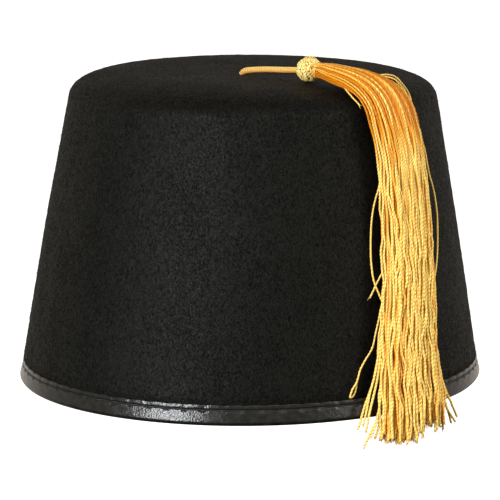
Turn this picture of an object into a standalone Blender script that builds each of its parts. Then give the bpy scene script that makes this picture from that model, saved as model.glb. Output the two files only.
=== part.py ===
"""A fez: a blocked felt crown with a bound rim, and a tassel that falls over one side.

The crown is one felt shell, open below. A folded strip binds its rim. A short cord comes up
through the crown's top, held inside by a knot, and carries the tassel: a wound head and a skirt
of rayon strands, which follows the crown's shoulder and hangs a little below the rim.
Metres, +Z up. The origin is the middle of the head opening, in the plane of the rim. The wearer
faces -Y, the opening is longest along Y, and the tassel falls on the +X side.
"""

import math

import bmesh
import bpy
from mathutils import Vector

MM = 0.001
GAP = 0.3 * MM  # between pieces that touch

# Crown: a cone of felt with a soft shoulder and a top that sinks a little in the middle.
CONE_RADIUS_RIM = 97.0 * MM
CONE_RADIUS_TOP = 74.5 * MM
CROWN_HEIGHT = 128.3 * MM
TOP_DISH = 0.8 * MM
WALL_BELLY = 0.45 * MM  # how far the wall bows out halfway up
SHOULDER_REACH = 38.0 * MM
SHOULDER_DROP = 12.2 * MM
SHOULDER_POWER = 2.9  # 2 is an ellipse's corner, more is squarer
FELT = 2.4 * MM
PINCH = 2.4 * MM  # how far the binding draws the felt in at the rim
PINCH_HEIGHT = 11.0 * MM  # where that starts
OVAL_RIM = 1.9 * MM  # longer along Y at the rim
OVAL_TOP = -1.8 * MM  # and a little longer along X at the top
LEAN = Vector((0.8, 0.65)) * MM  # how far blocking left the top off the axis
BEARINGS = 64
WALL_HEIGHTS = tuple(height * MM for height in (85.0, 48.0, 11.0, 7.8, 4.6))
SHOULDER_STEPS = 8
TOP_STEPS = 3
SURFACE_STEPS = 12  # of the finer outline that the tassel is laid on

# Binding: a strip of coated cloth, folded round the rim.
STRIP = 0.8 * MM
BINDING_OUTSIDE = 8.6 * MM
BINDING_INSIDE = 8.0 * MM
STITCH_DROP = 2.1 * MM  # from the strip's upper edge down to its stitches
STITCH_SINK = 0.25 * MM
SLOPE_ALLOWANCE = 0.1 * MM  # a sloping wall measures more along its radius
ROLL_RADIUS = 97.3 * MM  # the fold's roll, where the hat is widest
ROLL_HEIGHT = 2.9 * MM
ROLL_DEPTH = 1.5 * MM

# Tassel: its cord comes up through the crown beside the middle and runs on to the head.
HOLE = Vector((3.1, -10.2)) * MM
HEAD = Vector((44.3, -16.2)) * MM
CORD_DIAMETER = 2.4 * MM
CORD_CLEARANCE = 0.3 * MM
# The cord's middle, in millimetres: ALONG is level, from the hole towards the head, and HEIGHT
# is over the felt's surface at the hole.
#    ALONG  HEIGHT
CORD_ROUTE = (
    (0.0, -4.6),
    (0.0, -2.6),
    (0.3, -0.9),
    (1.1, 0.5),
    (2.4, 1.5),
    (4.2, 2.05),
    (8.0, 2.65),
    (14.0, 3.35),
    (20.0, 3.85),
    (26.0, 4.3),
    (32.0, 4.8),
    (36.0, 5.18),
    (39.4, 5.74),
)
CORD_POINTS = 19
HEAD_RADIUS = 5.2 * MM
HEAD_BORE_DEPTH = 3.6 * MM
HEAD_DROOP = 0.17  # how steeply the head's middle line sinks from its centre towards the cord
NECK_RADIUS = 3.5 * MM
NECK_LENGTH = 6.2 * MM  # from the head's middle to the end of its neck
KNOT_RADIUS = 3.5 * MM
KNOT_FLATNESS = 0.8
KNOT_BORE_DEPTH = 2.2 * MM

# Skirt sections. DOWN is the distance over the crown from its middle, BEARING is in degrees
# from +X, LIFT is the space under the strands. Lengths are in millimetres.
#        DOWN   BEARING  WIDTH  THICKNESS  LIFT
SKIRT = (
    (53.9, -18.2, 7.0, 7.0, 1.8),
    (56.2, -17.2, 9.5, 8.0, 1.2),
    (60.0, -15.5, 13.5, 8.4, 0.8),
    (65.2, -13.3, 17.5, 8.6, 0.6),
    (71.3, -11.3, 21.0, 8.6, 0.6),
    (77.6, -9.6, 23.8, 8.6, 0.6),
    (83.0, -8.4, 25.5, 8.8, 0.6),
    (95.0, -6.9, 26.4, 9.0, 0.7),
    (115.0, -6.6, 28.8, 9.5, 0.7),
    (143.0, -7.8, 29.6, 10.0, 0.8),
    (170.0, -9.9, 31.2, 10.0, 1.0),
    (186.0, -11.7, 35.8, 9.5, 1.8),
    (194.0, -12.1, 39.5, 9.2, 2.4),
    (201.0, -12.2, 43.0, 9.0, 3.0),
)
SKIRT_LOCKS = 12
POINTS_PER_LOCK = 4
LOCK_GROOVE = 0.09  # the grooves' depth, as a share of the section's half width
SECTION_POWER = 2.4
STATIONS = 22

# Loose ends. ACROSS is sideways from the skirt's middle, OUT is from its middle layer away from
# the crown, DROP is how far the end hangs below the rim, in millimetres.
#        ACROSS  OUT   DROP
ENDS = (
    (-27.5, 0.5, 2.0),
    (-25.5, 2.5, 7.0),
    (-21.0, -1.5, 7.5),
    (-17.5, 2.5, 7.5),
    (-12.5, -1.0, 9.5),
    (-10.0, 3.0, 9.0),
    (-4.5, -1.0, 10.5),
    (-1.5, 2.5, 10.0),
    (4.0, -1.5, 10.5),
    (6.5, 2.5, 8.0),
    (11.0, 0.0, 7.5),
    (15.0, 1.5, 8.5),
    (20.5, 0.0, 7.0),
    (24.5, 0.5, 5.5),
)
END_WIDTH = 6.4 * MM
END_THICKNESS = 5.2 * MM
TIP_SHARE = 0.45  # a lock's width at its end, as a share of its full width
END_SIDES = 6
END_STEPS = 5
END_START = 0.93  # where the loose ends leave the skirt, as a share of its length
SPREAD_AT_START = 0.55  # ACROSS there, as a share of its value at the ends


def clear_scene():
    for obj in list(bpy.data.objects):
        bpy.data.objects.remove(obj, do_unlink=True)


def make_material(name, colour, roughness, metallic=0.0):
    material = bpy.data.materials.new(name)
    material.use_nodes = True
    shader = material.node_tree.nodes["Principled BSDF"]
    shader.inputs["Base Color"].default_value = (*colour, 1.0)
    shader.inputs["Roughness"].default_value = roughness
    shader.inputs["Metallic"].default_value = metallic
    return material


def add_object(name, bm, material):
    """The bmesh as an object of this name, with its faces turned out."""
    bmesh.ops.recalc_face_normals(bm, faces=bm.faces)
    mesh = bpy.data.meshes.new(name)
    bm.to_mesh(mesh)
    bm.free()
    mesh.shade_smooth()
    mesh.set_sharp_from_angle(angle=math.radians(35))
    obj = bpy.data.objects.new(name, mesh)
    bpy.context.scene.collection.objects.link(obj)
    if material:
        mesh.materials.append(material)
    return obj


def add_helper(name, bm):
    """A cutter or a shape to join, left out of the finished hat."""
    obj = add_object(name, bm, None)
    obj.hide_render = True
    obj.display_type = "WIRE"
    return obj


def boolean(obj, helper, operation):
    modifier = obj.modifiers.new(helper.name, "BOOLEAN")
    modifier.operation = operation
    modifier.object = helper
    modifier.solver = "EXACT"


def blend(a, b, share):
    return a + (b - a) * share


def smooth_value(a, b, c, d, t):
    """The smooth curve's value this share of the way from b to c, with a before them and d after."""
    bend = 2 * a - 5 * b + 4 * c - d
    twist = 3 * (b - c) + d - a
    return b + 0.5 * ((c - a) * t + bend * t**2 + twist * t**3)


def smooth_rows(rows, count):
    """count rows read evenly from a smooth curve through the given ones."""
    last = len(rows) - 1
    out = []
    for k in range(count):
        place = k * last / (count - 1)
        i = min(int(place), last - 1)
        four = (rows[max(i - 1, 0)], rows[i], rows[i + 1], rows[min(i + 2, last)])
        out.append([smooth_value(*values, place - i) for values in zip(*four)])
    return out


# The crown's form


def cone_radius(height):
    return blend(CONE_RADIUS_RIM, CONE_RADIUS_TOP, height / CROWN_HEIGHT)


def felt_radius(height, pinched=True):
    """The wall's mean outer radius: the cone, bowed out halfway up and drawn in by the binding."""
    bow = WALL_BELLY * math.sin(math.pi * height / (CROWN_HEIGHT - SHOULDER_DROP))
    low = min(max(1 - height / PINCH_HEIGHT, 0.0), 1.0) if pinched else 0.0
    return cone_radius(height) + bow - PINCH * low**2 * (3 - 2 * low)


def meridian(top_steps, shoulder_steps, wall_heights, pinched=True):
    """(radius, height) down the crown's outside, from beside the middle of its top to its edge."""
    turn = CROWN_HEIGHT - SHOULDER_DROP
    start = cone_radius(turn) - SHOULDER_REACH
    slope = (CONE_RADIUS_RIM - CONE_RADIUS_TOP) / CROWN_HEIGHT
    points = []
    for k in range(1, top_steps + 1):
        share = k / (top_steps + 1)
        points.append((start * share, CROWN_HEIGHT - TOP_DISH * (1 - share**2) ** 2))
    for k in range(shoulder_steps + 1):
        angle = math.pi / 2 * (1 - k / shoulder_steps)
        out = max(math.cos(angle), 0.0) ** (2 / SHOULDER_POWER)
        up = math.sin(angle) ** (2 / SHOULDER_POWER)
        radius = start + SHOULDER_REACH * out - slope * SHOULDER_DROP * up * out
        points.append((radius, turn + SHOULDER_DROP * up))
    points += [(felt_radius(height, pinched), height) for height in wall_heights]
    return points


def oval_point(radius, height, bearing):
    """The point at this mean radius, on the oval that the hat has at this height."""
    share = min(max(height / CROWN_HEIGHT, 0.0), 1.0)
    spread = blend(OVAL_RIM, OVAL_TOP, share) * min(radius / cone_radius(height), 1.0)
    reach = radius - spread * math.cos(2 * bearing)
    lean = LEAN * share**2
    return Vector((reach * math.cos(bearing) + lean.x, reach * math.sin(bearing) + lean.y, height))


def inset(points, depth):
    """The profile moved in by depth, square to itself."""
    out = []
    for i, (radius, height) in enumerate(points):
        before, after = points[max(i - 1, 0)], points[min(i + 1, len(points) - 1)]
        along = Vector((after[0] - before[0], after[1] - before[1])).normalized()
        out.append((radius + along.y * depth, height - along.x * depth))
    return out


def crown_surface(distance, bearing):
    """(point, outward normal, sideways direction) on the crown, this far down from its middle."""
    turn = CROWN_HEIGHT - SHOULDER_DROP
    heights = [turn * (1 - k / SURFACE_STEPS) for k in range(1, SURFACE_STEPS + 1)]
    fine = [(0.0, CROWN_HEIGHT - TOP_DISH)] + meridian(6, 24, heights, pinched=False)
    gone = 0.0
    for (r0, z0), (r1, z1) in zip(fine, fine[1:]):
        step = math.hypot(r1 - r0, z1 - z0)
        if gone + step >= distance or (r1, z1) == fine[-1]:
            break
        gone += step
    share = (distance - gone) / step
    point = oval_point(blend(r0, r1, share), blend(z0, z1, share), bearing)
    outward = Vector((math.cos(bearing), math.sin(bearing), 0.0))
    sideways = Vector((-math.sin(bearing), math.cos(bearing), 0.0))
    along = (outward * (r1 - r0) + Vector((0.0, 0.0, z1 - z0))).normalized()
    return point, along.cross(sideways), sideways


# Meshes from rings


def join_rings(bm, rings, round_trip=False):
    """Quads between each ring of vertices and the next, and from the last to the first if asked."""
    count = len(rings[0])
    pairs = list(zip(rings, rings[1:]))
    if round_trip:
        pairs.append((rings[-1], rings[0]))
    for one, other in pairs:
        for k in range(count):
            bm.faces.new((one[k], one[(k + 1) % count], other[(k + 1) % count], other[k]))


def close_ring(bm, ring, point):
    """A fan from the ring to one point."""
    centre = bm.verts.new(point)
    for k in range(len(ring)):
        bm.faces.new((ring[k], ring[(k + 1) % len(ring)], centre))


def loft(sections):
    """A closed solid through sections of equally many points, with a fan over each end."""
    bm = bmesh.new()
    rings = [[bm.verts.new(point) for point in section] for section in sections]
    join_rings(bm, rings)
    for ring, section in ((rings[0], sections[0]), (rings[-1], sections[-1])):
        close_ring(bm, ring, sum(section, Vector()) / len(section))
    return bm


def oval_ring(bm, radius, height):
    bearings = [math.tau * k / BEARINGS for k in range(BEARINGS)]
    return [bm.verts.new(oval_point(radius, height, bearing)) for bearing in bearings]


# Crown and binding


def make_crown():
    outside = meridian(TOP_STEPS, SHOULDER_STEPS, (*WALL_HEIGHTS, STRIP + GAP))
    inside = inset(outside, FELT)
    inside[-1] = (inside[-1][0], outside[-1][1])  # the cut edge is level
    bm = bmesh.new()
    outer_rings = [oval_ring(bm, *place) for place in outside]
    inner_rings = [oval_ring(bm, *place) for place in reversed(inside)]
    join_rings(bm, outer_rings + inner_rings)
    middle = oval_point(0.0, CROWN_HEIGHT - TOP_DISH, 0.0)
    close_ring(bm, outer_rings[0], middle)
    close_ring(bm, inner_rings[-1], middle - Vector((0.0, 0.0, FELT)))
    crown = add_object("felt_crown", bm, make_material("felt", (0.014, 0.014, 0.012), 0.95))
    hole = loft(tube_sections(cord_route(), CORD_DIAMETER / 2 + CORD_CLEARANCE, 12))
    boolean(crown, add_helper("cord_hole_cutter", hole), "DIFFERENCE")
    return crown


def binding_profile():
    """The folded strip's section, as (radius, height), round it once."""
    top, groove = BINDING_OUTSIDE, BINDING_OUTSIDE - STITCH_DROP
    proud = GAP + STRIP
    within = FELT + GAP
    stitched = felt_radius(groove) + proud - STITCH_SINK
    return [
        (felt_radius(top) + GAP, top),
        (felt_radius(top) + GAP + 0.6 * STRIP, top - 0.1 * STRIP),
        (felt_radius(groove) + proud, blend(groove, top, 0.6)),
        (stitched, groove),
        (blend(stitched, ROLL_RADIUS, 0.75), blend(groove, ROLL_HEIGHT, 0.4)),
        (ROLL_RADIUS, ROLL_HEIGHT),
        (ROLL_RADIUS - 0.4 * ROLL_DEPTH, 0.4 * ROLL_HEIGHT),
        (ROLL_RADIUS - 1.1 * ROLL_DEPTH, 0.06 * ROLL_HEIGHT),
        (ROLL_RADIUS - 1.8 * ROLL_DEPTH, 0.0),
        (felt_radius(0.0) - within + 0.5 * STRIP, 0.0),
        (felt_radius(0.0) - within - STRIP, 0.9 * STRIP),
        (felt_radius(BINDING_INSIDE) - within - STRIP, BINDING_INSIDE - 0.5 * STRIP),
        (felt_radius(BINDING_INSIDE) - within - SLOPE_ALLOWANCE, BINDING_INSIDE),
        (felt_radius(STRIP) - within, STRIP),
        (felt_radius(STRIP) + GAP, STRIP),
    ]


def make_binding():
    bm = bmesh.new()
    join_rings(bm, [oval_ring(bm, *place) for place in binding_profile()], round_trip=True)
    return add_object("rim_binding", bm, make_material("coated_cloth", (0.02, 0.02, 0.018), 0.3))


# Cord, knot and head


def cord_heading():
    """The level direction from the crown's hole to the tassel's head."""
    return (HEAD - HOLE).normalized().to_3d()


def head_middle():
    point, _, _ = crown_surface(HEAD.length, math.atan2(HEAD.y, HEAD.x))
    return Vector((HEAD.x, HEAD.y, point.z + GAP + HEAD_RADIUS))


def hole_height():
    """The felt's outer height at the hole."""
    point, _, _ = crown_surface(HOLE.length, math.atan2(HOLE.y, HOLE.x))
    return point.z


def knot_top():
    return hole_height() - FELT - GAP


def cord_route():
    """Points along the cord's middle, from inside its knot to the bore in the tassel's head."""
    foot = HOLE.to_3d() + Vector((0.0, 0.0, hole_height()))
    route = []
    for along, height in smooth_rows(CORD_ROUTE, CORD_POINTS):
        route.append(foot + cord_heading() * (along * MM) + Vector((0.0, 0.0, height * MM)))
    return route


def tube_sections(route, radius, sides):
    """Rings of points square to the route."""
    across = Vector((0.0, 0.0, 1.0)).cross(cord_heading())
    sections = []
    for i, point in enumerate(route):
        along = (route[min(i + 1, len(route) - 1)] - route[max(i - 1, 0)]).normalized()
        up = along.cross(across)
        turns = [math.tau * k / sides for k in range(sides)]
        sections.append([point + (across * math.cos(a) + up * math.sin(a)) * radius for a in turns])
    return sections


def make_cord():
    curve = bpy.data.curves.new("tassel_cord", "CURVE")
    curve.dimensions = "3D"
    curve.bevel_depth = CORD_DIAMETER / 2
    curve.bevel_resolution = 2
    curve.use_fill_caps = True
    route = cord_route()
    spline = curve.splines.new("POLY")
    spline.points.add(len(route) - 1)
    for place, point in zip(spline.points, route):
        place.co = (*point, 1.0)
    curve.materials.append(make_material("cord_rayon", (0.8, 0.47, 0.14), 0.45))
    cord = bpy.data.objects.new("tassel_cord", curve)
    bpy.context.scene.collection.objects.link(cord)
    return cord


def turned(profile, axis, centre, sides, droop=0.0):
    """A solid turned about axis through centre, from (along, radius) places with a point at each end.

    Its middle line sinks at this slope before the centre.
    """
    square = axis.orthogonal().normalized()
    other = axis.cross(square)
    sections = []
    for along, radius in profile:
        turns = [math.tau * k / sides for k in range(sides)]
        middle = centre + axis * along + Vector((0.0, 0.0, min(along, 0.0) * droop))
        sections.append([middle + (square * math.cos(a) + other * math.sin(a)) * radius for a in turns])
    return loft(sections)


def ball_profile(radius, flatness, rings, bore_radius, bore_depth):
    """A ball's half outline from its bore's bottom, out of the mouth and round to the far pole."""
    mouth = math.asin(bore_radius / radius)
    front = -radius * math.cos(mouth) * flatness
    profile = [(front + bore_depth, bore_radius), (front, bore_radius)]
    for k in range(1, rings):
        angle = blend(mouth, math.pi, k / rings)
        profile.append((-radius * math.cos(angle) * flatness, radius * math.sin(angle)))
    return profile


def make_knot():
    bore = CORD_DIAMETER / 2 + CORD_CLEARANCE
    profile = ball_profile(KNOT_RADIUS, KNOT_FLATNESS, 7, bore, KNOT_BORE_DEPTH)
    middle = HOLE.to_3d() + Vector((0.0, 0.0, knot_top() - KNOT_RADIUS * KNOT_FLATNESS))
    material = make_material("knot_rayon", (0.7, 0.4, 0.12), 0.5)
    return add_object("cord_knot", turned(profile, Vector((0.0, 0.0, -1.0)), middle, 12), material)


def make_head():
    bore = CORD_DIAMETER / 2 + CORD_CLEARANCE
    ball = ball_profile(HEAD_RADIUS, 1.0, 10, bore, HEAD_BORE_DEPTH)
    profile = [place for place in ball if place[0] < 0.62 * HEAD_RADIUS]
    profile += [
        (0.86 * HEAD_RADIUS, 0.86 * NECK_RADIUS),
        (0.5 * (HEAD_RADIUS + NECK_LENGTH), NECK_RADIUS),
        (NECK_LENGTH, 0.93 * NECK_RADIUS),
    ]
    solid = turned(profile, cord_heading(), head_middle(), 16, HEAD_DROOP)
    return add_object("tassel_head", solid, make_material("head_rayon", (0.8, 0.52, 0.15), 0.45))


# Skirt


def section_outline(width, thickness, groove):
    """A flattened oval with a scallop for each lock, as (sideways, outward) pairs."""
    count = SKIRT_LOCKS * POINTS_PER_LOCK
    outline = []
    for k in range(count):
        angle = math.tau * k / count
        lobe = 1 - groove * 0.5 * (1 + math.cos(SKIRT_LOCKS * angle))
        side = math.copysign(abs(math.cos(angle)) ** (2 / SECTION_POWER), math.cos(angle))
        out = math.copysign(abs(math.sin(angle)) ** (2 / SECTION_POWER), math.sin(angle))
        outline.append((side * lobe * width / 2, out * lobe * thickness / 2))
    return outline


def skirt_frame(down, bearing, thickness, lift):
    """(middle, sideways, outward) of the skirt's section there."""
    point, normal, sideways = crown_surface(down, bearing)
    return point + normal * (lift + thickness / 2), sideways, normal


def skirt_row(row):
    down, bearing, width, thickness, lift = row
    return down * MM, math.radians(bearing), width * MM, thickness * MM, lift * MM


def skirt_sections():
    sections = []
    for k, row in enumerate(smooth_rows(SKIRT, STATIONS)):
        down, bearing, width, thickness, lift = skirt_row(row)
        middle, sideways, outward = skirt_frame(down, bearing, thickness, lift)
        groove = LOCK_GROOVE * min(k / 3, 1.0)
        outline = section_outline(width, thickness, groove)
        sections.append([middle + sideways * side + outward * out for side, out in outline])
    return sections


def end_sections(across, out, drop):
    """One loose lock, from inside the skirt to its tip below the rim."""
    down, bearing, _, thickness, lift = skirt_row(SKIRT[-1])
    start, sideways, outward = skirt_frame(down * END_START, bearing, thickness, lift)
    level = Vector((outward.x, outward.y, 0.0)).normalized()
    begin = start + sideways * (across * SPREAD_AT_START) + level * (out * 0.6)
    rim, _, _ = skirt_frame(down, bearing, thickness, lift)
    tip = rim + sideways * across + level * out
    tip.z = -drop
    sections = []
    for k in range(END_STEPS + 1):
        share = k / END_STEPS
        middle = begin.lerp(tip, share)
        swell = math.sin(math.pi * min(share + 0.18, 1.0)) ** 0.5 if share < 0.82 else 0.0
        size = blend(TIP_SHARE, 1.0, min(swell, 1.0))
        turns = [math.tau * j / END_SIDES for j in range(END_SIDES)]
        wide, thick = sideways * (END_WIDTH / 2 * size), level * (END_THICKNESS / 2 * size)
        sections.append([middle + wide * math.cos(a) + thick * math.sin(a) for a in turns])
    return sections


def make_skirt():
    material = make_material("skirt_rayon", (0.82, 0.5, 0.14), 0.4)
    skirt = add_object("tassel_skirt", loft(skirt_sections()), material)
    for k, row in enumerate(ENDS):
        across, out, drop = (value * MM for value in row)
        lock = add_helper(f"loose_end_{k + 1}", loft(end_sections(across, out, drop)))
        boolean(skirt, lock, "UNION")
    return skirt


def main():
    clear_scene()
    make_crown()
    make_binding()
    make_cord()
    make_knot()
    make_head()
    make_skirt()


main()
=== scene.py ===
"""The looks of a fez: blocked black felt, a bound rim and a gold rayon tassel.

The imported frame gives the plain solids, in metres, with the origin in the middle of the head
opening, in the plane of the rim. Each class below dresses one sub-assembly of the hat. The felt
and the binding are profiles spun round the axis and shaped to the head's oval. The cord, the
wound head and the tassel's strands are yarn, laid along the routes that the solids have.
"""

import logging
import math
from collections.abc import Sequence
from dataclasses import dataclass, field
from enum import Enum

import bpy
import numpy as np
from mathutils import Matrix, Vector, noise


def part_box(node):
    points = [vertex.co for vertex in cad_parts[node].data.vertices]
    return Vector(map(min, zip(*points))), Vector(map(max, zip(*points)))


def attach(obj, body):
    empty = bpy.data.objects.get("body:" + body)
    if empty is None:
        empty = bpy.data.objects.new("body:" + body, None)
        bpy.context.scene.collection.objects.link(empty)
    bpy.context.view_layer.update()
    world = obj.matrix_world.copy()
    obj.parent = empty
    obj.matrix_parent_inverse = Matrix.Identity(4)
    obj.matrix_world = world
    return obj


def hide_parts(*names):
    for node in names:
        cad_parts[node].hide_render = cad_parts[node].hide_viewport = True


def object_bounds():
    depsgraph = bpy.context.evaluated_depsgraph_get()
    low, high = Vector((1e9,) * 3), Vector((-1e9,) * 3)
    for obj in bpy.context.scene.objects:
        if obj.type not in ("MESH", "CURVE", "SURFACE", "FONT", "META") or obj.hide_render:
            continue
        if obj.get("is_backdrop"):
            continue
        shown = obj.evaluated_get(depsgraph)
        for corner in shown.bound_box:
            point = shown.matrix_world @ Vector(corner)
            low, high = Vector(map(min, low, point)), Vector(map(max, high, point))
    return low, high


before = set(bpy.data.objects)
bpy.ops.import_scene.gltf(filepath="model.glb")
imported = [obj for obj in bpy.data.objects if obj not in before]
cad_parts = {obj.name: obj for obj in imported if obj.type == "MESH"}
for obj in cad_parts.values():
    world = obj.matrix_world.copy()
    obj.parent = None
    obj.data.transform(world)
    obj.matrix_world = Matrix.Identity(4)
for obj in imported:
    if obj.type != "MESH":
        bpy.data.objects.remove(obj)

MM = 0.001
TAU = math.tau
BODY = "root"
CAD_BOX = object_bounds()

log = logging.getLogger("fez")

Tree = bpy.types.NodeTree
Node = bpy.types.Node
Socket = bpy.types.NodeSocket
Material = bpy.types.Material
Piece = bpy.types.Object
Draw = np.random.Generator
Colour = tuple[float, float, float]
Range = tuple[float, float]
WHITE: Colour = (1.0, 1.0, 1.0)
UP = np.array([0.0, 0.0, 1.0])


# Curves and meshes


def smooth_rows(rows: Sequence[Sequence[float]], count: int) -> np.ndarray:
    """Reads rows evenly from a smooth curve through the given ones.

    Args:
        rows: The rows of a table, each with the same columns.
        count: How many rows to read, the first and the last included.

    Returns:
        An array of count rows.
    """
    table = np.array(rows, float)
    place = np.linspace(0, len(table) - 1, count)
    return read_smoothly(table, place)


def read_smoothly(table: np.ndarray, place: np.ndarray) -> np.ndarray:
    """Reads a table at fractional row numbers, on a smooth curve through its rows.

    Args:
        table: The rows; each may be a number or an array.
        place: The fractional row numbers.

    Returns:
        The values there.
    """
    last = len(table) - 1
    i = np.clip(place.astype(int), 0, last - 1)
    t = (place - i).reshape(-1, *([1] * (table.ndim - 1)))
    a, b = table[np.maximum(i - 1, 0)], table[i]
    c, d = table[i + 1], table[np.minimum(i + 2, last)]
    bend, twist = 2 * a - 5 * b + 4 * c - d, 3 * (b - c) + d - a
    return b + 0.5 * ((c - a) * t + bend * t**2 + twist * t**3)


def unit(vectors: np.ndarray) -> np.ndarray:
    """The vectors at length one."""
    return vectors / np.linalg.norm(vectors, axis=-1, keepdims=True)


def level(bearing: np.ndarray) -> np.ndarray:
    """The level directions at these bearings from +X, in radians."""
    return np.stack([np.cos(bearing), np.sin(bearing), 0 * bearing], axis=-1)


def polar(points: np.ndarray) -> tuple[np.ndarray, np.ndarray]:
    """How far the points are from the upright axis, and their bearings from +X."""
    return np.hypot(points[:, 0], points[:, 1]), np.arctan2(points[:, 1], points[:, 0])


def ease(share: np.ndarray) -> np.ndarray:
    """The share with a soft start and a soft end."""
    return share**2 * (3 - 2 * share)


def distances(path: np.ndarray) -> np.ndarray:
    """How far along a path each of its points is."""
    steps = np.linalg.norm(np.diff(path, axis=0), axis=1)
    return np.concatenate([[0.0], np.cumsum(steps)])


def evenly(path: np.ndarray, spacing: float) -> np.ndarray:
    """Points this far apart along a path of points."""
    gone = distances(path)
    steps = max(int(round(gone[-1] / spacing)), 2)
    places = np.linspace(0, gone[-1], steps + 1)
    return np.stack([np.interp(places, gone, path[:, axis]) for axis in range(3)], axis=1)


def deselect_all() -> None:
    """Leaves object mode with nothing selected."""
    if bpy.context.mode != "OBJECT":
        bpy.ops.object.mode_set(mode="OBJECT")
    bpy.ops.object.select_all(action="DESELECT")


def make_active(obj: Piece) -> None:
    """Makes obj the only selected object and the active one."""
    deselect_all()
    obj.select_set(True)
    bpy.context.view_layer.objects.active = obj


def new_object(name: str, points: np.ndarray, edges: list, faces: list) -> Piece:
    """Links a new mesh object with these points, edges and faces."""
    mesh = bpy.data.meshes.new(name)
    mesh.from_pydata(points.tolist(), edges, faces)
    obj = bpy.data.objects.new(name, mesh)
    bpy.context.scene.collection.objects.link(obj)
    return obj


def read_points(obj: Piece) -> np.ndarray:
    """The mesh's points, as an array of rows."""
    values = np.empty(len(obj.data.vertices) * 3)
    obj.data.vertices.foreach_get("co", values)
    return values.reshape(-1, 3)


def write_points(obj: Piece, points: np.ndarray) -> None:
    """Moves the mesh's points."""
    obj.data.vertices.foreach_set("co", points.ravel())
    obj.data.update()


def spun(name: str, profile: Sequence[tuple[float, float]], steps: int) -> Piece:
    """Spins a profile once round the upright axis, and closes its seam and its poles.

    Args:
        name: The new object's name.
        profile: (radius, height) places. A closed section repeats its first place at the end.
        steps: How many steps the turn has.

    Returns:
        The round object, with its faces pointing out.
    """
    points = np.array([(radius, 0.0, height) for radius, height in profile])
    edges = [(k, k + 1) for k in range(len(points) - 1)]
    obj = new_object(name, points, edges, [])
    make_active(obj)
    bpy.ops.object.mode_set(mode="EDIT")
    bpy.ops.mesh.select_all(action="SELECT")
    bpy.ops.mesh.spin(steps=steps, angle=TAU, center=(0, 0, 0), axis=(0, 0, 1))
    bpy.ops.mesh.select_all(action="SELECT")
    bpy.ops.mesh.remove_doubles(threshold=1e-6)
    bpy.ops.mesh.normals_make_consistent(inside=False)
    bpy.ops.object.mode_set(mode="OBJECT")
    bpy.ops.object.shade_smooth()
    return obj


def finish_piece(obj: Piece, material: Material) -> None:
    """Gives a piece its body, its material slot and its finish."""
    obj.data.materials.clear()
    obj.data.materials.append(material)
    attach(obj, BODY)
    log.info("%s: %d faces", obj.name, len(obj.data.polygons))


# Yarn: tubes with a rule for their section, laid along paths


@dataclass(frozen=True)
class Yarn:
    """A yarn's thickness, how closely its rings are laid and how its two plies twist."""

    diameter: float
    ring_spacing: float
    pitch: float = 1.0
    relief: float = 0.0
    sides: int = 6

    def radii(self, rings: int, begin: float = 0.0) -> np.ndarray:
        """The radius of each side of each ring, highest along the plies' crests.

        Args:
            rings: How many rings there are.
            begin: Where the first one is in the twist, in metres.

        Returns:
            A row of radii for each ring.
        """
        along = (begin + np.arange(rings) * self.ring_spacing) / self.pitch
        around = np.arange(self.sides) / self.sides
        wave = 0.5 - 0.5 * np.cos(TAU * (along[:, None] + 2 * around))
        return self.diameter / 2 * (1 - self.relief * (1 - wave))


# How far apart the plies' crests are along the skirt's strands and along the head's winding.
TWIST = 1.56 * MM
FINE_TWIST = 1.2 * MM


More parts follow.
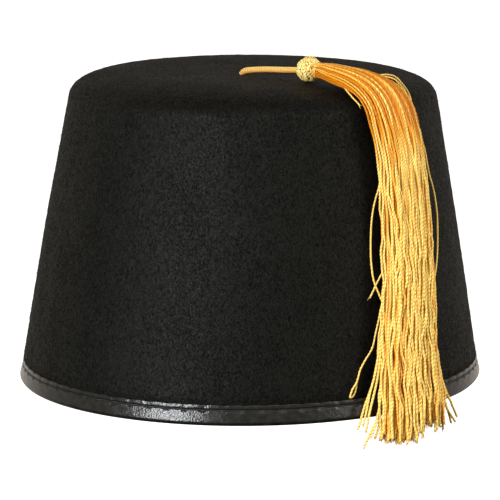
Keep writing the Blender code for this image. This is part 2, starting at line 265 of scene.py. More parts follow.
@dataclass
class YarnMesh:
    """Collects strands of yarn into one mesh.

    The side shade is painted shade: how much deeper a strand's tone is on its back and sides than
    on its front, standing for the shade where strands face each other.
    """

    painted_side_shade: float = 0.9
    points: list[np.ndarray] = field(default_factory=list)
    faces: list[list[int]] = field(default_factory=list)
    uvs: list[np.ndarray] = field(default_factory=list)
    shades: list[np.ndarray] = field(default_factory=list)
    crests: list[np.ndarray] = field(default_factory=list)
    used: int = 0

    def add(
        self,
        path: np.ndarray,
        radii: np.ndarray,
        up: np.ndarray,
        shade: float | np.ndarray = 0.5,
        begin: float = 0.0,
        closed: bool = False,
    ) -> None:
        """Lays one strand.

        Args:
            path: The strand's middle, a row for each ring.
            radii: Each ring's radii, one for each side.
            up: The way that each ring's front faces, or one for all; it isn't along the path.
            shade: The strand's tone, from 0, deep, to 1, pale, or each ring's own.
            begin: Where the strand starts in its yarn's repeating twist, in metres.
            closed: Whether the strand is a loop.
        """
        rings, sides = radii.shape
        if closed:
            along = unit(np.roll(path, -1, axis=0) - np.roll(path, 1, axis=0))
        else:
            along = unit(np.gradient(path, axis=0))
        across = unit(np.cross(along, np.broadcast_to(up, path.shape)))
        over = np.cross(across, along)
        angles = np.arange(sides) * TAU / sides
        out = across[:, None] * np.cos(angles)[:, None] + over[:, None] * np.sin(angles)[:, None]
        ring_points = path[:, None] + out * radii[..., None]
        self.points.append(ring_points.reshape(-1, 3))
        # Painted shade: each ring's tone is deeper on its back and sides than on its front.
        sideways = self.painted_side_shade * (1 - np.sin(angles)) / 2
        self.shades.append((np.broadcast_to(shade, rings)[:, None] - sideways).ravel())
        widest = radii.max(axis=1, keepdims=True)
        narrow = max(float(1 - (radii / widest).min()), 1e-6)
        self.crests.append((1 - (1 - radii / widest) / narrow).ravel())
        self._add_faces(rings, sides, path, begin, closed)
        self.used += rings * sides

    def _add_faces(
        self, rings: int, sides: int, path: np.ndarray, begin: float, closed: bool
    ) -> None:
        """Joins the rings just laid, and closes the ends of an open strand."""
        last = rings if closed else rings - 1
        i, k = np.meshgrid(np.arange(last), np.arange(sides), indexing="ij")
        i, k = i.ravel(), k.ravel()
        ring, following, beside = i * sides, (i + 1) % rings * sides, (k + 1) % sides
        corners = (ring + k, ring + beside, following + beside, following + k)
        self.faces += (np.stack(corners, axis=1) + self.used).tolist()
        step = float(np.linalg.norm(path[1] - path[0]))
        u, v = begin + i * step, k / sides
        low = [np.stack([u, v], 1), np.stack([u, v + 1 / sides], 1)]
        high = [np.stack([u + step, v + 1 / sides], 1), np.stack([u + step, v], 1)]
        self.uvs.append(np.stack(low + high, axis=1).reshape(-1, 2))
        if not closed:
            first = [self.used + k for k in reversed(range(sides))]
            end = self.used + (rings - 1) * sides
            self.faces += [first, [end + k for k in range(sides)]]
            self.uvs.append(np.zeros((2 * sides, 2)))

    def build(self, name: str) -> Piece:
        """Makes the mesh object of all the strands laid so far."""
        obj = new_object(name, np.concatenate(self.points), [], self.faces)
        mesh = obj.data
        layer = mesh.uv_layers.new(name="along")
        layer.data.foreach_set("uv", np.concatenate(self.uvs).ravel())
        for label, values in (("shade", self.shades), ("crest", self.crests)):
            attribute = mesh.attributes.new(label, "FLOAT", "POINT")
            attribute.data.foreach_set("value", np.concatenate(values))
        mesh.polygons.foreach_set("use_smooth", np.ones(len(mesh.polygons), bool))
        mesh.update()
        return obj


# Node helpers and shared effects


def feed(tree: Tree, node: Node, inputs: dict) -> None:
    """Gives each of these sockets, by name or number, a value or the socket that feeds it."""
    for name, value in inputs.items():
        if isinstance(value, Socket):
            tree.links.new(value, node.inputs[name])
        else:
            node.inputs[name].default_value = value


def add_node(tree: Tree, kind: str, inputs: dict | None = None, **settings: object) -> Node:
    """Adds a shader node.

    Args:
        tree: The tree that gets it.
        kind: The node's type.
        inputs: Sockets by name or number, each given a value or the socket that feeds it.
        **settings: The node's own properties.

    Returns:
        The node.
    """
    node = tree.nodes.new(kind)
    for name, value in settings.items():
        setattr(node, name, value)
    feed(tree, node, inputs or {})
    return node


def mix_colour(tree: Tree, share: Socket, low: Socket | Colour, high: Socket | Colour) -> Socket:
    """The colour this share of the way from low to high."""
    low, high = (end if isinstance(end, Socket) else (*end, 1.0) for end in (low, high))
    inputs = {0: share, 6: low, 7: high}
    return add_node(tree, "ShaderNodeMix", inputs, data_type="RGBA").outputs[2]


def stretch(
    tree: Tree,
    value: Socket,
    low: float,
    high: float,
    ends: Range = (0.0, 1.0),
    kind: str = "LINEAR",
) -> Socket:
    """The value with low and high made the two ends, kept between them."""
    inputs = {"Value": value, "From Min": low, "From Max": high}
    inputs |= {"To Min": ends[0], "To Max": ends[1]}
    node = add_node(tree, "ShaderNodeMapRange", inputs, clamp=True, interpolation_type=kind)
    return node.outputs["Result"]


def calculate(tree: Tree, operation: str, one: object, other: object) -> Socket:
    """The result of a Math node on two values."""
    return add_node(tree, "ShaderNodeMath", {0: one, 1: other}, operation=operation).outputs[0]


def new_group(name: str, inputs: dict[str, float], outputs: Sequence[str]) -> tuple:
    """An empty shader node group whose first input is a Vector.

    Args:
        name: The group's name.
        inputs: The other inputs and their usual values.
        outputs: The names of its outputs, all plain values.

    Returns:
        The group, its input node and its output node.
    """
    group = bpy.data.node_groups.new(name, "ShaderNodeTree")
    group.interface.new_socket("Vector", in_out="INPUT", socket_type="NodeSocketVector")
    for label, value in inputs.items():
        socket = group.interface.new_socket(label, in_out="INPUT", socket_type="NodeSocketFloat")
        socket.default_value = value
    for label in outputs:
        group.interface.new_socket(label, in_out="OUTPUT", socket_type="NodeSocketFloat")
    return group, group.nodes.new("NodeGroupInput"), group.nodes.new("NodeGroupOutput")


class SharedEffects:
    """The node groups that more than one finish uses.

    Counts are for a metre, and lines_around for a turn round the yarn, where Scale is 1. Shares
    are of the height. Tones and edges are the two values of a layer that become 0 and 1.
    """

    curls = 1700.0
    tufts = 900.0
    patches = 60.0
    tuft_share = 0.14
    patch_share = 0.1
    fibre_tones = (0.54, 0.70)
    cells = 1500.0
    dust = 420.0
    cell_edges = (0.75, 0.15)
    dust_share = 0.3
    dust_tones = (0.35, 0.7)
    grain_share = 0.5
    lines_along = 180.0
    lines_around = 7.0
    line_tones = (0.3, 0.7)

    def __init__(self) -> None:
        """Builds each group once."""
        self.fibre = self._fibre()
        self.grain = self._grain()
        self.filament = self._filament()
        self.ply = self._ply()

    def _fibre(self) -> Tree:
        """Matted fibres: fine curled strands, coarser tufts and slow patches."""
        group, given, result = new_group("fibre", {"Scale": 1.0}, ("Tone", "Height"))
        place = {"Vector": given.outputs["Vector"]}
        scales = [
            calculate(group, "MULTIPLY", given.outputs["Scale"], number)
            for number in (self.curls, self.tufts, self.patches)
        ]
        curled = {**place, "Scale": scales[0], "Detail": 4.0, "Distortion": 1.6}
        fine = add_node(group, "ShaderNodeTexNoise", curled)
        tuft = add_node(group, "ShaderNodeTexNoise", {**place, "Scale": scales[1], "Detail": 2.0})
        patch = add_node(group, "ShaderNodeTexNoise", {**place, "Scale": scales[2]})
        coarse = calculate(group, "MULTIPLY", tuft.outputs["Fac"], self.tuft_share)
        slow = calculate(group, "MULTIPLY", patch.outputs["Fac"], self.patch_share)
        height = calculate(group, "ADD", fine.outputs["Fac"], coarse)
        tone = calculate(group, "ADD", height, slow)
        tone = stretch(group, tone, *self.fibre_tones)
        feed(group, result, {"Tone": tone, "Height": height})
        return group

    def _grain(self) -> Tree:
        """Pebbled grain, as on coated cloth: rounded cells with fine creases between them."""
        group, given, result = new_group("grain", {"Scale": 1.0}, ("Tone", "Height"))
        place = {"Vector": given.outputs["Vector"]}
        cell_scale = calculate(group, "MULTIPLY", given.outputs["Scale"], self.cells)
        dust_scale = calculate(group, "MULTIPLY", given.outputs["Scale"], self.dust)
        cells = add_node(group, "ShaderNodeTexVoronoi", {**place, "Scale": cell_scale})
        dust = add_node(group, "ShaderNodeTexNoise", {**place, "Scale": dust_scale, "Detail": 4.0})
        uneven = dust.outputs["Fac"]
        rounded = stretch(group, cells.outputs["Distance"], *self.cell_edges)
        low = calculate(group, "MULTIPLY", uneven, self.dust_share)
        height = calculate(group, "ADD", rounded, low)
        level = calculate(group, "MULTIPLY", height, self.grain_share)
        tone = stretch(group, uneven, *self.dust_tones)
        feed(group, result, {"Tone": tone, "Height": level})
        return group

    def _filament(self) -> Tree:
        """Fine filaments that run round and along a yarn, read from its UV map."""
        group, given, result = new_group("filament", {"Lay": 1.0, "Scale": 1.0}, ("Tone", "Height"))
        parts = add_node(group, "ShaderNodeSeparateXYZ", {0: given.outputs["Vector"]})
        along = calculate(group, "MULTIPLY", parts.outputs["X"], self.lines_along)
        turn = calculate(group, "MULTIPLY", parts.outputs["Y"], self.lines_around)
        slant = calculate(group, "MULTIPLY", given.outputs["Lay"], along)
        around = calculate(group, "ADD", turn, slant)
        place = add_node(group, "ShaderNodeCombineXYZ", {0: along, 1: around})
        inputs = {"Vector": place.outputs[0], "Scale": given.outputs["Scale"], "Detail": 3.0}
        lines = add_node(group, "ShaderNodeTexNoise", inputs).outputs["Fac"]
        feed(group, result, {"Tone": stretch(group, lines, *self.line_tones), "Height": lines})
        return group

    def _ply(self) -> Tree:
        """Two plies twisted round each other, read from the yarn's UV map."""
        group, given, result = new_group("ply", {"Pitch": 1.0 * MM}, ("Crest", "Height"))
        parts = add_node(group, "ShaderNodeSeparateXYZ", {0: given.outputs["Vector"]})
        along = calculate(group, "DIVIDE", parts.outputs["X"], given.outputs["Pitch"])
        two_turns = calculate(group, "MULTIPLY", parts.outputs["Y"], 2.0)
        repeat = calculate(group, "FRACT", calculate(group, "ADD", along, two_turns), 0.0)
        from_crest = calculate(group, "SUBTRACT", calculate(group, "MULTIPLY", repeat, 2.0), 1.0)
        squared = calculate(group, "MULTIPLY", from_crest, from_crest)
        crest = calculate(group, "SUBTRACT", 1.0, squared)
        feed(group, result, {"Crest": crest, "Height": calculate(group, "POWER", crest, 0.5)})
        return group


def new_material(name: str) -> tuple[Material, Tree, Node]:
    """A material with a Principled shader, and that shader's node."""
    material = bpy.data.materials.new(name)
    material.use_nodes = True
    tree = material.node_tree
    return material, tree, tree.nodes["Principled BSDF"]


def use_group(tree: Tree, group: Tree, vector: Socket, **values: float) -> Node:
    """Places a shared group in a material, with its own values."""
    inputs = {name.capitalize(): value for name, value in values.items()}
    return add_node(tree, "ShaderNodeGroup", {"Vector": vector, **inputs}, node_tree=group)


def bump(tree: Tree, height: Socket, depth: float, over: dict | None = None) -> Socket:
    """The normals of a height, depth metres deep, over the normals given if there are any."""
    inputs = {"Height": height, "Distance": depth, "Strength": 1.0, **(over or {})}
    return add_node(tree, "ShaderNodeBump", inputs).outputs["Normal"]


# Finishes


@dataclass(frozen=True)
class FeltFinish:
    """Black wool felt: matted, dull and a little fuzzy."""

    deep: Colour = (0.0004, 0.0004, 0.0003)
    pale: Colour = (0.0094, 0.0096, 0.0077)
    matted: float = 0.66
    sleek: float = 0.35
    gloss: float = 0.066
    fibre_depth: float = 0.2 * MM
    upright: tuple[float, float, float] = (1.0, 1.0, 0.55)
    grazing: Range = (0.45, 0.85)
    grazing_blur: float = 0.16

    def material(self, effects: SharedEffects) -> Material:
        """Builds the felt's material.

        Args:
            effects: The shared node groups.

        Returns:
            The material.
        """
        material, tree, shader = new_material("black_felt")
        place = add_node(tree, "ShaderNodeTexCoord").outputs["Object"]
        drawn = add_node(tree, "ShaderNodeMapping", {"Vector": place, "Scale": self.upright})
        fibre = use_group(tree, effects.fibre, drawn.outputs["Vector"], scale=1.0)
        tone = fibre.outputs["Tone"]
        roughness = stretch(tree, tone, 0.0, 1.0, (self.matted, self.sleek))
        facing = add_node(tree, "ShaderNodeLayerWeight", {"Blend": 0.5}).outputs["Facing"]
        blur = calculate(tree, "MULTIPLY", stretch(tree, facing, *self.grazing), self.grazing_blur)
        looks = {
            "Base Color": mix_colour(tree, tone, self.deep, self.pale),
            "Roughness": calculate(tree, "ADD", roughness, blur),
            "Specular IOR Level": self.gloss,
            "Normal": bump(tree, fibre.outputs["Height"], self.fibre_depth),
        }
        feed(tree, shader, looks)
        return material


@dataclass(frozen=True)
class CoatedClothFinish:
    """Black coated cloth: glossy, with a pebbled grain and dull creases."""

    deep: Colour = (0.006, 0.006, 0.005)
    pale: Colour = (0.014, 0.014, 0.012)
    smooth: float = 0.20
    dull: float = 0.28
    gloss: float = 0.46
    grain_depth: float = 0.10 * MM

    def material(self, effects: SharedEffects) -> Material:
        """Builds the coated cloth's material.

        Args:
            effects: The shared node groups.

        Returns:
            The material.
        """
        material, tree, shader = new_material("black_coated_cloth")
        place = add_node(tree, "ShaderNodeTexCoord").outputs["Object"]
        grain = use_group(tree, effects.grain, place, scale=1.0)
        tone = grain.outputs["Tone"]
        looks = {
            "Base Color": mix_colour(tree, tone, self.deep, self.pale),
            "Roughness": stretch(tree, tone, 0.0, 1.0, (self.smooth, self.dull)),
            "Specular IOR Level": self.gloss,
            "Normal": bump(tree, grain.outputs["Height"], self.grain_depth),
        }
        feed(tree, shader, looks)
        return material


@dataclass(frozen=True)
class RayonFinish:
    """Gold rayon: glossy filaments, with painted shade in deep orange where strands face each other
    and in the grooves of their plies.
    """

    name: str
    # The dark and groove colours are painted shade. Deep takes the strands' deeper own tones and
    # their painted shade.
    dark_and_shade: Colour = (0.58, 0.17, 0.003)
    deep: Colour = (0.90, 0.34, 0.007)
    pale: Colour = (0.99, 0.775, 0.215)
    groove: Colour = (0.74, 0.28, 0.005)
    pitch: float = TWIST
    twisted: bool = True
    groove_width: float = 0.05
    groove_rim: float = 0.75
    filament_share: float = 0.3
    pale_tones: Range = (0.05, 1.05)
    dark_tones: Range = (-0.6, 0.15)
    roughness: float = 0.36
    gloss: float = 0.28
    filament_depth: float = 0.05 * MM
    ply_depth: float = 0.12 * MM
    lay: float = 1.6

    def material(self, effects: SharedEffects) -> Material:
        """Builds the yarn's material from its shade, its twist and its filaments.

        Args:
            effects: The shared node groups.

        Returns:
            The material.
        """
        material, tree, shader = new_material(self.name)
        layer = add_node(tree, "ShaderNodeUVMap", uv_map="along").outputs["UV"]
        shade = add_node(tree, "ShaderNodeAttribute", attribute_name="shade").outputs["Fac"]
        filament = use_group(tree, effects.filament, layer, lay=self.lay, scale=1.0)
        lines = calculate(tree, "MULTIPLY", filament.outputs["Tone"], self.filament_share)
        tone = calculate(tree, "ADD", shade, lines)
        # The shade attribute holds each strand's own tone and its painted shade. The lowest tones
        # take the dark colour.
        body = mix_colour(tree, stretch(tree, tone, *self.pale_tones), self.deep, self.pale)
        body = mix_colour(tree, stretch(tree, tone, *self.dark_tones), self.dark_and_shade, body)
        coarse = {}
        if self.twisted:
            ply = use_group(tree, effects.ply, layer, pitch=self.pitch)
            crest = ply.outputs["Crest"]
            coarse["Normal"] = bump(tree, ply.outputs["Height"], self.ply_depth)
        else:
            crest = add_node(tree, "ShaderNodeAttribute", attribute_name="crest").outputs["Fac"]
        # Painted shade: the groove colour darkens the plies' grooves, or the cord's ribs between
        # their crests.
        raised = stretch(tree, crest, self.groove_width, self.groove_rim)
        looks = {
            "Base Color": mix_colour(tree, raised, self.groove, body),
            "Roughness": self.roughness,
            "Specular IOR Level": self.gloss,
            "Normal": bump(tree, filament.outputs["Height"], self.filament_depth, coarse),
        }
        feed(tree, shader, looks)
        return material


@dataclass(frozen=True)
class ThreadFinish:
    """Black sewing thread with a soft gloss."""

    deep: Colour = (0.004, 0.004, 0.004)
    pale: Colour = (0.014, 0.014, 0.013)
    roughness: float = 0.6
    filament_depth: float = 0.03 * MM
    lay: float = 3.0
    fineness: float = 1.5

    def material(self, effects: SharedEffects) -> Material:
        """Builds the sewing thread's material.

        Args:
            effects: The shared node groups.

        Returns:
            The material.
        """
        material, tree, shader = new_material("black_thread")
        layer = add_node(tree, "ShaderNodeUVMap", uv_map="along").outputs["UV"]
        filament = use_group(tree, effects.filament, layer, lay=self.lay, scale=self.fineness)
        looks = {
            "Base Color": mix_colour(tree, filament.outputs["Tone"], self.deep, self.pale),
            "Roughness": self.roughness,
            "Normal": bump(tree, filament.outputs["Height"], self.filament_depth),
        }
        feed(tree, shader, looks)
        return material


# The crown's form, which the felt, the binding and the tassel all follow


@dataclass(frozen=True)
class CrownForm:
    """The blocked crown's outer form, as in the solids."""

    rim_radius: float = 97.0 * MM
    top_radius: float = 74.5 * MM
    height: float = 128.3 * MM
    top_dish: float = 0.8 * MM
    belly: float = 0.45 * MM
    shoulder_reach: float = 38.0 * MM
    shoulder_drop: float = 12.2 * MM
    shoulder_power: float = 2.9
    pinch: float = 2.4 * MM
    pinch_height: float = 11.0 * MM
    oval_rim: float = 1.9 * MM
    oval_top: float = -1.8 * MM
    lean: tuple[float, float] = (0.8 * MM, 0.65 * MM)
    top_steps: int = 8
    fall: float = 30.0 * MM

    @property
    def turn(self) -> float:
        """The height where the wall turns into the shoulder."""
        return self.height - self.shoulder_drop

    def cone(self, height: np.ndarray) -> np.ndarray:
        """The plain cone's radius at this height."""
        return self.rim_radius + (self.top_radius - self.rim_radius) * height / self.height

    def wall(self, height: np.ndarray, pinched: bool = True) -> np.ndarray:
        """The wall's mean outer radius, drawn in near the rim where it is pinched."""
        height = np.asarray(height, float)
        bow = self.belly * np.sin(np.pi * height / self.turn)
        low = np.clip(1 - height / self.pinch_height, 0, 1) if pinched else 0.0
        return self.cone(height) + bow - self.pinch * ease(low)

    def meridian(self, wall_heights: np.ndarray, pinched: bool, shoulder_steps: int) -> np.ndarray:
        """The outline from the middle of the top down to the last of the wall's heights.

        Args:
            wall_heights: Heights down the wall, the highest first.
            pinched: Whether the binding draws the felt in.
            shoulder_steps: How many steps the shoulder has.

        Returns:
            Rows of (radius, height).
        """
        start = self.cone(self.turn) - self.shoulder_reach
        slope = (self.rim_radius - self.top_radius) / self.height
        share = np.arange(self.top_steps) / self.top_steps
        top = np.stack([start * share, self.height - self.top_dish * (1 - share**2) ** 2], 1)
        angle = np.linspace(np.pi / 2, 0, shoulder_steps + 1)
        out = np.maximum(np.cos(angle), 0) ** (2 / self.shoulder_power)
        up = np.sin(angle) ** (2 / self.shoulder_power)
        radius = start + self.shoulder_reach * out - slope * self.shoulder_drop * up * out
        shoulder = np.stack([radius, self.turn + self.shoulder_drop * up], 1)
        wall = np.stack([self.wall(wall_heights, pinched), wall_heights], 1)
        return np.concatenate([top, shoulder, wall])

    def oval(self, radius: np.ndarray, height: np.ndarray, bearing: np.ndarray) -> np.ndarray:
        """Points at these mean radii, on the oval that the hat has at each height."""
        share = np.clip(height / self.height, 0, 1)
        spread = self.oval_rim + (self.oval_top - self.oval_rim) * share
        spread = spread * np.minimum(radius / self.cone(height), 1)
        reach = radius - spread * np.cos(2 * bearing)
        x = reach * np.cos(bearing) + self.lean[0] * share**2
        y = reach * np.sin(bearing) + self.lean[1] * share**2
        return np.stack([x, y, height + 0 * x], axis=-1)

    def outline(self) -> np.ndarray:
        """The unpinched outline that the tassel lies on, with the fall past the rim."""
        heights = self.turn * (1 - np.arange(1, 41) / 40)
        rows = self.meridian(heights, False, 40)
        below = rows[-1:] - (0.0, self.fall)
        return np.concatenate([rows, below])

    def surface(self, down: np.ndarray, bearing: np.ndarray) -> tuple[np.ndarray, ...]:
        """The crown's surface at distances over it from its middle.

        Args:
            down: The distances.
            bearing: The bearings from +X, in radians.

        Returns:
            Points, outward normals and sideways directions.
        """
        rows = self.outline()
        gone = distances(rows)
        near = 0.6 * MM
        place = [np.interp(down, gone, rows[:, k]) for k in (0, 1)]
        before = [np.interp(down - near, gone, rows[:, k]) for k in (0, 1)]
        after = [np.interp(down + near, gone, rows[:, k]) for k in (0, 1)]
        outward = level(bearing)
        sideways = np.cross(UP, outward)
        along = outward * (after[0] - before[0])[..., None]
        along[..., 2] += after[1] - before[1]
        return self.oval(place[0], place[1], bearing), np.cross(unit(along), sideways), sideways

    def height_at(self, place: Sequence[float]) -> float:
        """The height of the felt's outside at this place, (x, y), on the top."""
        radius, bearing = polar(np.array([place]))
        return self.surface(radius, bearing)[0][0, 2]


def inset(rows: np.ndarray, depth: float) -> np.ndarray:
    """The outline moved in by depth, square to itself."""
    along = unit(np.gradient(rows, axis=0))
    return rows + np.stack([along[:, 1], -along[:, 0]], axis=1) * depth


def shape_to_head(obj: Piece, form: CrownForm) -> None:
    """Turns a round form into the oval that the hat has at each height."""
    points = read_points(obj)
    radius, bearing = polar(points)
    write_points(obj, form.oval(radius, points[:, 2], bearing))


# Sub-assemblies


@dataclass
class Cord:
    """The ribbed cord, from the knot inside the crown to the tassel's head."""

    form: CrownForm
    hole: tuple[float, float] = (3.1 * MM, -10.2 * MM)
    head: tuple[float, float] = (44.3 * MM, -16.2 * MM)
    diameter: float = 2.4 * MM
    length: float = 44.3 * MM
    rib: float = 1.07 * MM
    rings_per_rib: int = 8
    rib_depth: float = 0.38
    sides: int = 16
    tone: float = 0.85
    path_points: int = 160
    declared_spacing: float = 1.5 * MM
    # ALONG from the hole towards the head and HEIGHT over the felt at the hole, in millimetres.
    route: tuple[tuple[float, float], ...] = (
        (0.0, -4.6),
        (0.0, -2.6),
        (0.3, -0.9),
        (1.1, 0.5),
        (2.4, 1.5),
        (4.2, 2.05),
        (8.0, 2.65),
        (14.0, 3.35),
        (20.0, 3.85),
        (26.0, 4.3),
        (32.0, 4.8),
        (36.0, 5.18),
        (39.4, 5.74),
    )

    @property
    def heading(self) -> np.ndarray:
        """The level direction from the hole to the head."""
        return unit(np.array([self.head[0] - self.hole[0], self.head[1] - self.hole[1], 0.0]))

    @property
    def mouth(self) -> np.ndarray:
        """The middle of the hole, on the felt's outside."""
        return np.array([*self.hole, self.form.height_at(self.hole)])

    def path(self) -> np.ndarray:
        """The cord's middle, closely spaced."""
        rows = smooth_rows(self.route, self.path_points) * MM
        points = self.mouth + self.heading * rows[:, :1]
        points[:, 2] += rows[:, 1]
        return points

    def build(self, finish: Material) -> Piece:
        """Args:
            finish: The cord's material.

        Returns:
            The cord.
        """
        path = evenly(self.path(), self.rib / self.rings_per_rib)
        turns = np.arange(len(path))[:, None] / self.rings_per_rib
        lean = np.arange(self.sides)[None] / self.sides
        wave = (0.5 - 0.5 * np.cos(TAU * (turns + lean))) ** 2
        radii = self.diameter / 2 * (1 - self.rib_depth * wave)
        yarn = YarnMesh()
        along = unit(np.gradient(path, axis=0))
        across = np.cross(UP, self.heading)
        yarn.add(path, radii, np.cross(along, across), self.tone)
        cord = yarn.build("cord_sheath")
        finish_piece(cord, finish)
        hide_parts("tassel_cord")
        return cord

    def declare(self, cord: Piece, head: Piece) -> None:
        """Works out where the cord leaves the felt and its path in even steps, and keeps neither.
        """
        tuple(self.mouth)
        evenly(self.path(), self.declared_spacing).tolist()


TWO_PLY = Yarn(diameter=1.24 * MM, ring_spacing=TWIST / 3, pitch=TWIST, relief=0.30)
SOFT_PLY = Yarn(diameter=1.24 * MM, ring_spacing=TWIST)
FINE_PLY = Yarn(diameter=0.95 * MM, ring_spacing=FINE_TWIST / 3, pitch=FINE_TWIST, relief=0.28)
TWIST_REPEAT = 100 * MM


@dataclass(frozen=True)
class CutEnd:
    """The loose filaments at a strand's cut end; lengths are in millimetres."""

    filaments: int = 6
    radii: tuple[float, ...] = (0.18, 0.18, 0.14, 0.06)
    lengths: Range = (0.8, 2.2)
    root: float = 0.6
    aside: Range = (0.05, 0.3)
    spread: Range = (0.1, 0.5)
    curl: float = 1.5
    lighter: float = 0.4

    def add(self, yarn: YarnMesh, draw: Draw, path: np.ndarray, shade: float) -> None:
        """Adds the filaments.

        Args:
            yarn: The mesh that gets them.
            draw: The source of their small differences.
            path: The strand's middle.
            shade: The strand's tone.
        """
        along = unit(path[-1] - path[-4])
        radii = np.array(self.radii)[:, None] * MM * np.ones((1, 3))
        steps = np.linspace(0, 1, len(radii))[:, None]
        for _ in range(self.filaments):
            aside = draw.normal(0, 1, 3)
            aside = unit(aside - along * (aside @ along))
            length = draw.uniform(*self.lengths) * MM
            root = path[-1] - along * self.root * MM + aside * draw.uniform(*self.aside) * MM
            spread = draw.uniform(*self.spread) * length
            line = root + along * steps * length + aside * steps**self.curl * spread
            yarn.add(line, radii, aside + along * 0.1, shade + self.lighter)


CUT_END = CutEnd()


@dataclass
class WoundKnot:
    """A ball of yarn wound in crossing turns, round a smooth core."""

    centre: np.ndarray
    radius: float
    yarn: Yarn
    flatness: float = 1.0
    seed: int = 7
    # Painted shade on each turn's back and sides.
    painted_side_shade: float = 1.4
    tones: Range = (0.9, 0.15)
    core_rings: int = 13
    core_sides: int = 20
    core_depth: float = 1.1
    # The core's low tone is painted shade, seen in the gaps between the turns.
    core_shade_tone: float = 0.2
    # By how many degrees a turn is off its latitude, and sways; how far, in yarn diameters, it
    # rises over and dips under the others.
    jitter: float = 2.0
    sway: float = 5.0
    weave: float = 0.14

    # Each winding: the axis its turns go round, how far they spread towards the axis's poles, in
    # degrees, how many there are, and how deep they lie, in yarn diameters.
    #  AXIS                 SPREAD  TURNS  DEPTH
    windings: tuple = (
        ((0.55, 0.50, 0.67), 82.0, 15, 0.75),
        ((0.60, 0.35, -0.72), 70.0, 13, 0.45),
        ((-0.35, 0.75, 0.56), 52.0, 10, 0.2),
        ((0.75, 0.45, 0.35), 38.0, 7, 0.0),
    )

    def build(self, name: str) -> Piece:
        """Winds the ball.

        Args:
            name: The new object's name.

        Returns:
            The ball, with no material yet.
        """
        draw = np.random.default_rng(self.seed)
        yarn = YarnMesh(painted_side_shade=self.painted_side_shade)
        self._core(yarn)
        for axis, spread, turns, depth in self.windings:
            axis = unit(np.array(axis))
            shell = self.radius - self.yarn.diameter * (0.5 + depth)
            for latitude in np.linspace(-spread, spread, turns):
                latitude = math.radians(latitude + draw.normal() * self.jitter)
                self._wind(yarn, draw, axis, latitude, shell)
        return yarn.build(name)

    def _core(self, yarn: YarnMesh) -> None:
        """Lays the core as a short, round strand, in a deep tone that paints the shade seen between
        the turns.
        """
        angle = np.linspace(0.02, math.pi - 0.02, self.core_rings)
        reach = self.radius - self.core_depth * self.yarn.diameter
        path = self.centre + np.outer(-np.cos(angle) * reach * self.flatness, UP)
        radii = np.repeat(np.sin(angle)[:, None] * reach, self.core_sides, axis=1)
        yarn.add(path, radii, np.array([1.0, 0.0, 0.0]), self.core_shade_tone)

    def _wind(
        self, yarn: YarnMesh, draw: Draw, axis: np.ndarray, latitude: float, shell: float
    ) -> None:
        """Lays one turn round the ball, rising over and dipping under the ones it crosses."""
        square = unit(np.cross(axis, [0.31, -0.2, 0.93]))
        other = np.cross(axis, square)
        rings = max(int(TAU * shell * math.cos(latitude) / self.yarn.ring_spacing), 12)
        angle = np.linspace(0, TAU, rings, endpoint=False)
        sway = math.radians(self.sway) * np.sin(angle * 2 + draw.uniform(0, TAU))
        over_under = np.sin(angle * 5 + draw.uniform(0, TAU))
        rise = shell + self.weave * self.yarn.diameter * over_under
        level = np.cos(latitude + sway) * rise
        ring = square * (np.cos(angle) * level)[:, None] + other * (np.sin(angle) * level)[:, None]
        ring = ring + axis * (np.sin(latitude + sway) * rise)[:, None]
        ring[:, 2] *= self.flatness
        begin = draw.uniform(0, TWIST_REPEAT)
        shade = float(draw.normal(*self.tones))
        radii = self.yarn.radii(rings, begin)
        yarn.add(self.centre + ring, radii, unit(ring), shade, begin, closed=True)


@dataclass
class TasselHead:
    """The wound ball at the cord's end and the turns round the neck behind it."""

    form: CrownForm
    cord: Cord
    radius: float = 5.4 * MM
    flatness: float = 0.97
    gap: float = 0.3 * MM
    droop: float = 0.17
    neck_radius: float = 2.6 * MM
    neck_start: float = 4.7 * MM
    neck_end: float = 6.2 * MM
    neck_turns: int = 3
    neck_slant: Range = (0.275, -0.11)
    # The neck's deep tone is painted shade in the notch behind the ball.
    neck_shade_tone: float = 0.35

    @property
    def centre(self) -> np.ndarray:
        """The ball's middle."""
        lift = self.gap + self.radius * self.flatness
        return np.array([*self.cord.head, self.form.height_at(self.cord.head) + lift])

    def build(self, finish: Material) -> Piece:
        """Winds the ball and its neck as one piece.

        Args:
            finish: The head's material.

        Returns:
            The head.
        """
        head = WoundKnot(self.centre, self.radius, FINE_PLY, self.flatness).build("head_winding")
        points = read_points(head)
        along = (points - self.centre) @ self.cord.heading
        points[:, 2] += np.minimum(along, 0) * self.droop
        write_points(head, points)
        neck = self._neck()
        make_active(head)
        neck.select_set(True)
        bpy.ops.object.join()
        finish_piece(head, finish)
        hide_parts("tassel_head")
        return head

    def _neck(self) -> Piece:
        """A few slanted turns round the strands, where they leave the ball."""
        heading = self.cord.heading
        across = np.cross(UP, heading)
        rings = int(TAU * self.neck_radius * self.neck_turns / FINE_PLY.ring_spacing)
        share = np.linspace(0, 1, rings)
        angle = share * TAU * self.neck_turns
        rise, aside = np.sin(angle) * self.neck_radius, np.cos(angle) * self.neck_radius
        along = self.neck_start + (self.neck_end - self.neck_start) * share
        along = along + self.neck_slant[0] * rise + self.neck_slant[1] * aside
        out = across * aside[:, None] + UP * rise[:, None]
        path = self.centre + heading * along[:, None] + out
        yarn = YarnMesh()
        yarn.add(path, FINE_PLY.radii(rings), unit(out), self.neck_shade_tone)
        return yarn.build("neck_winding")


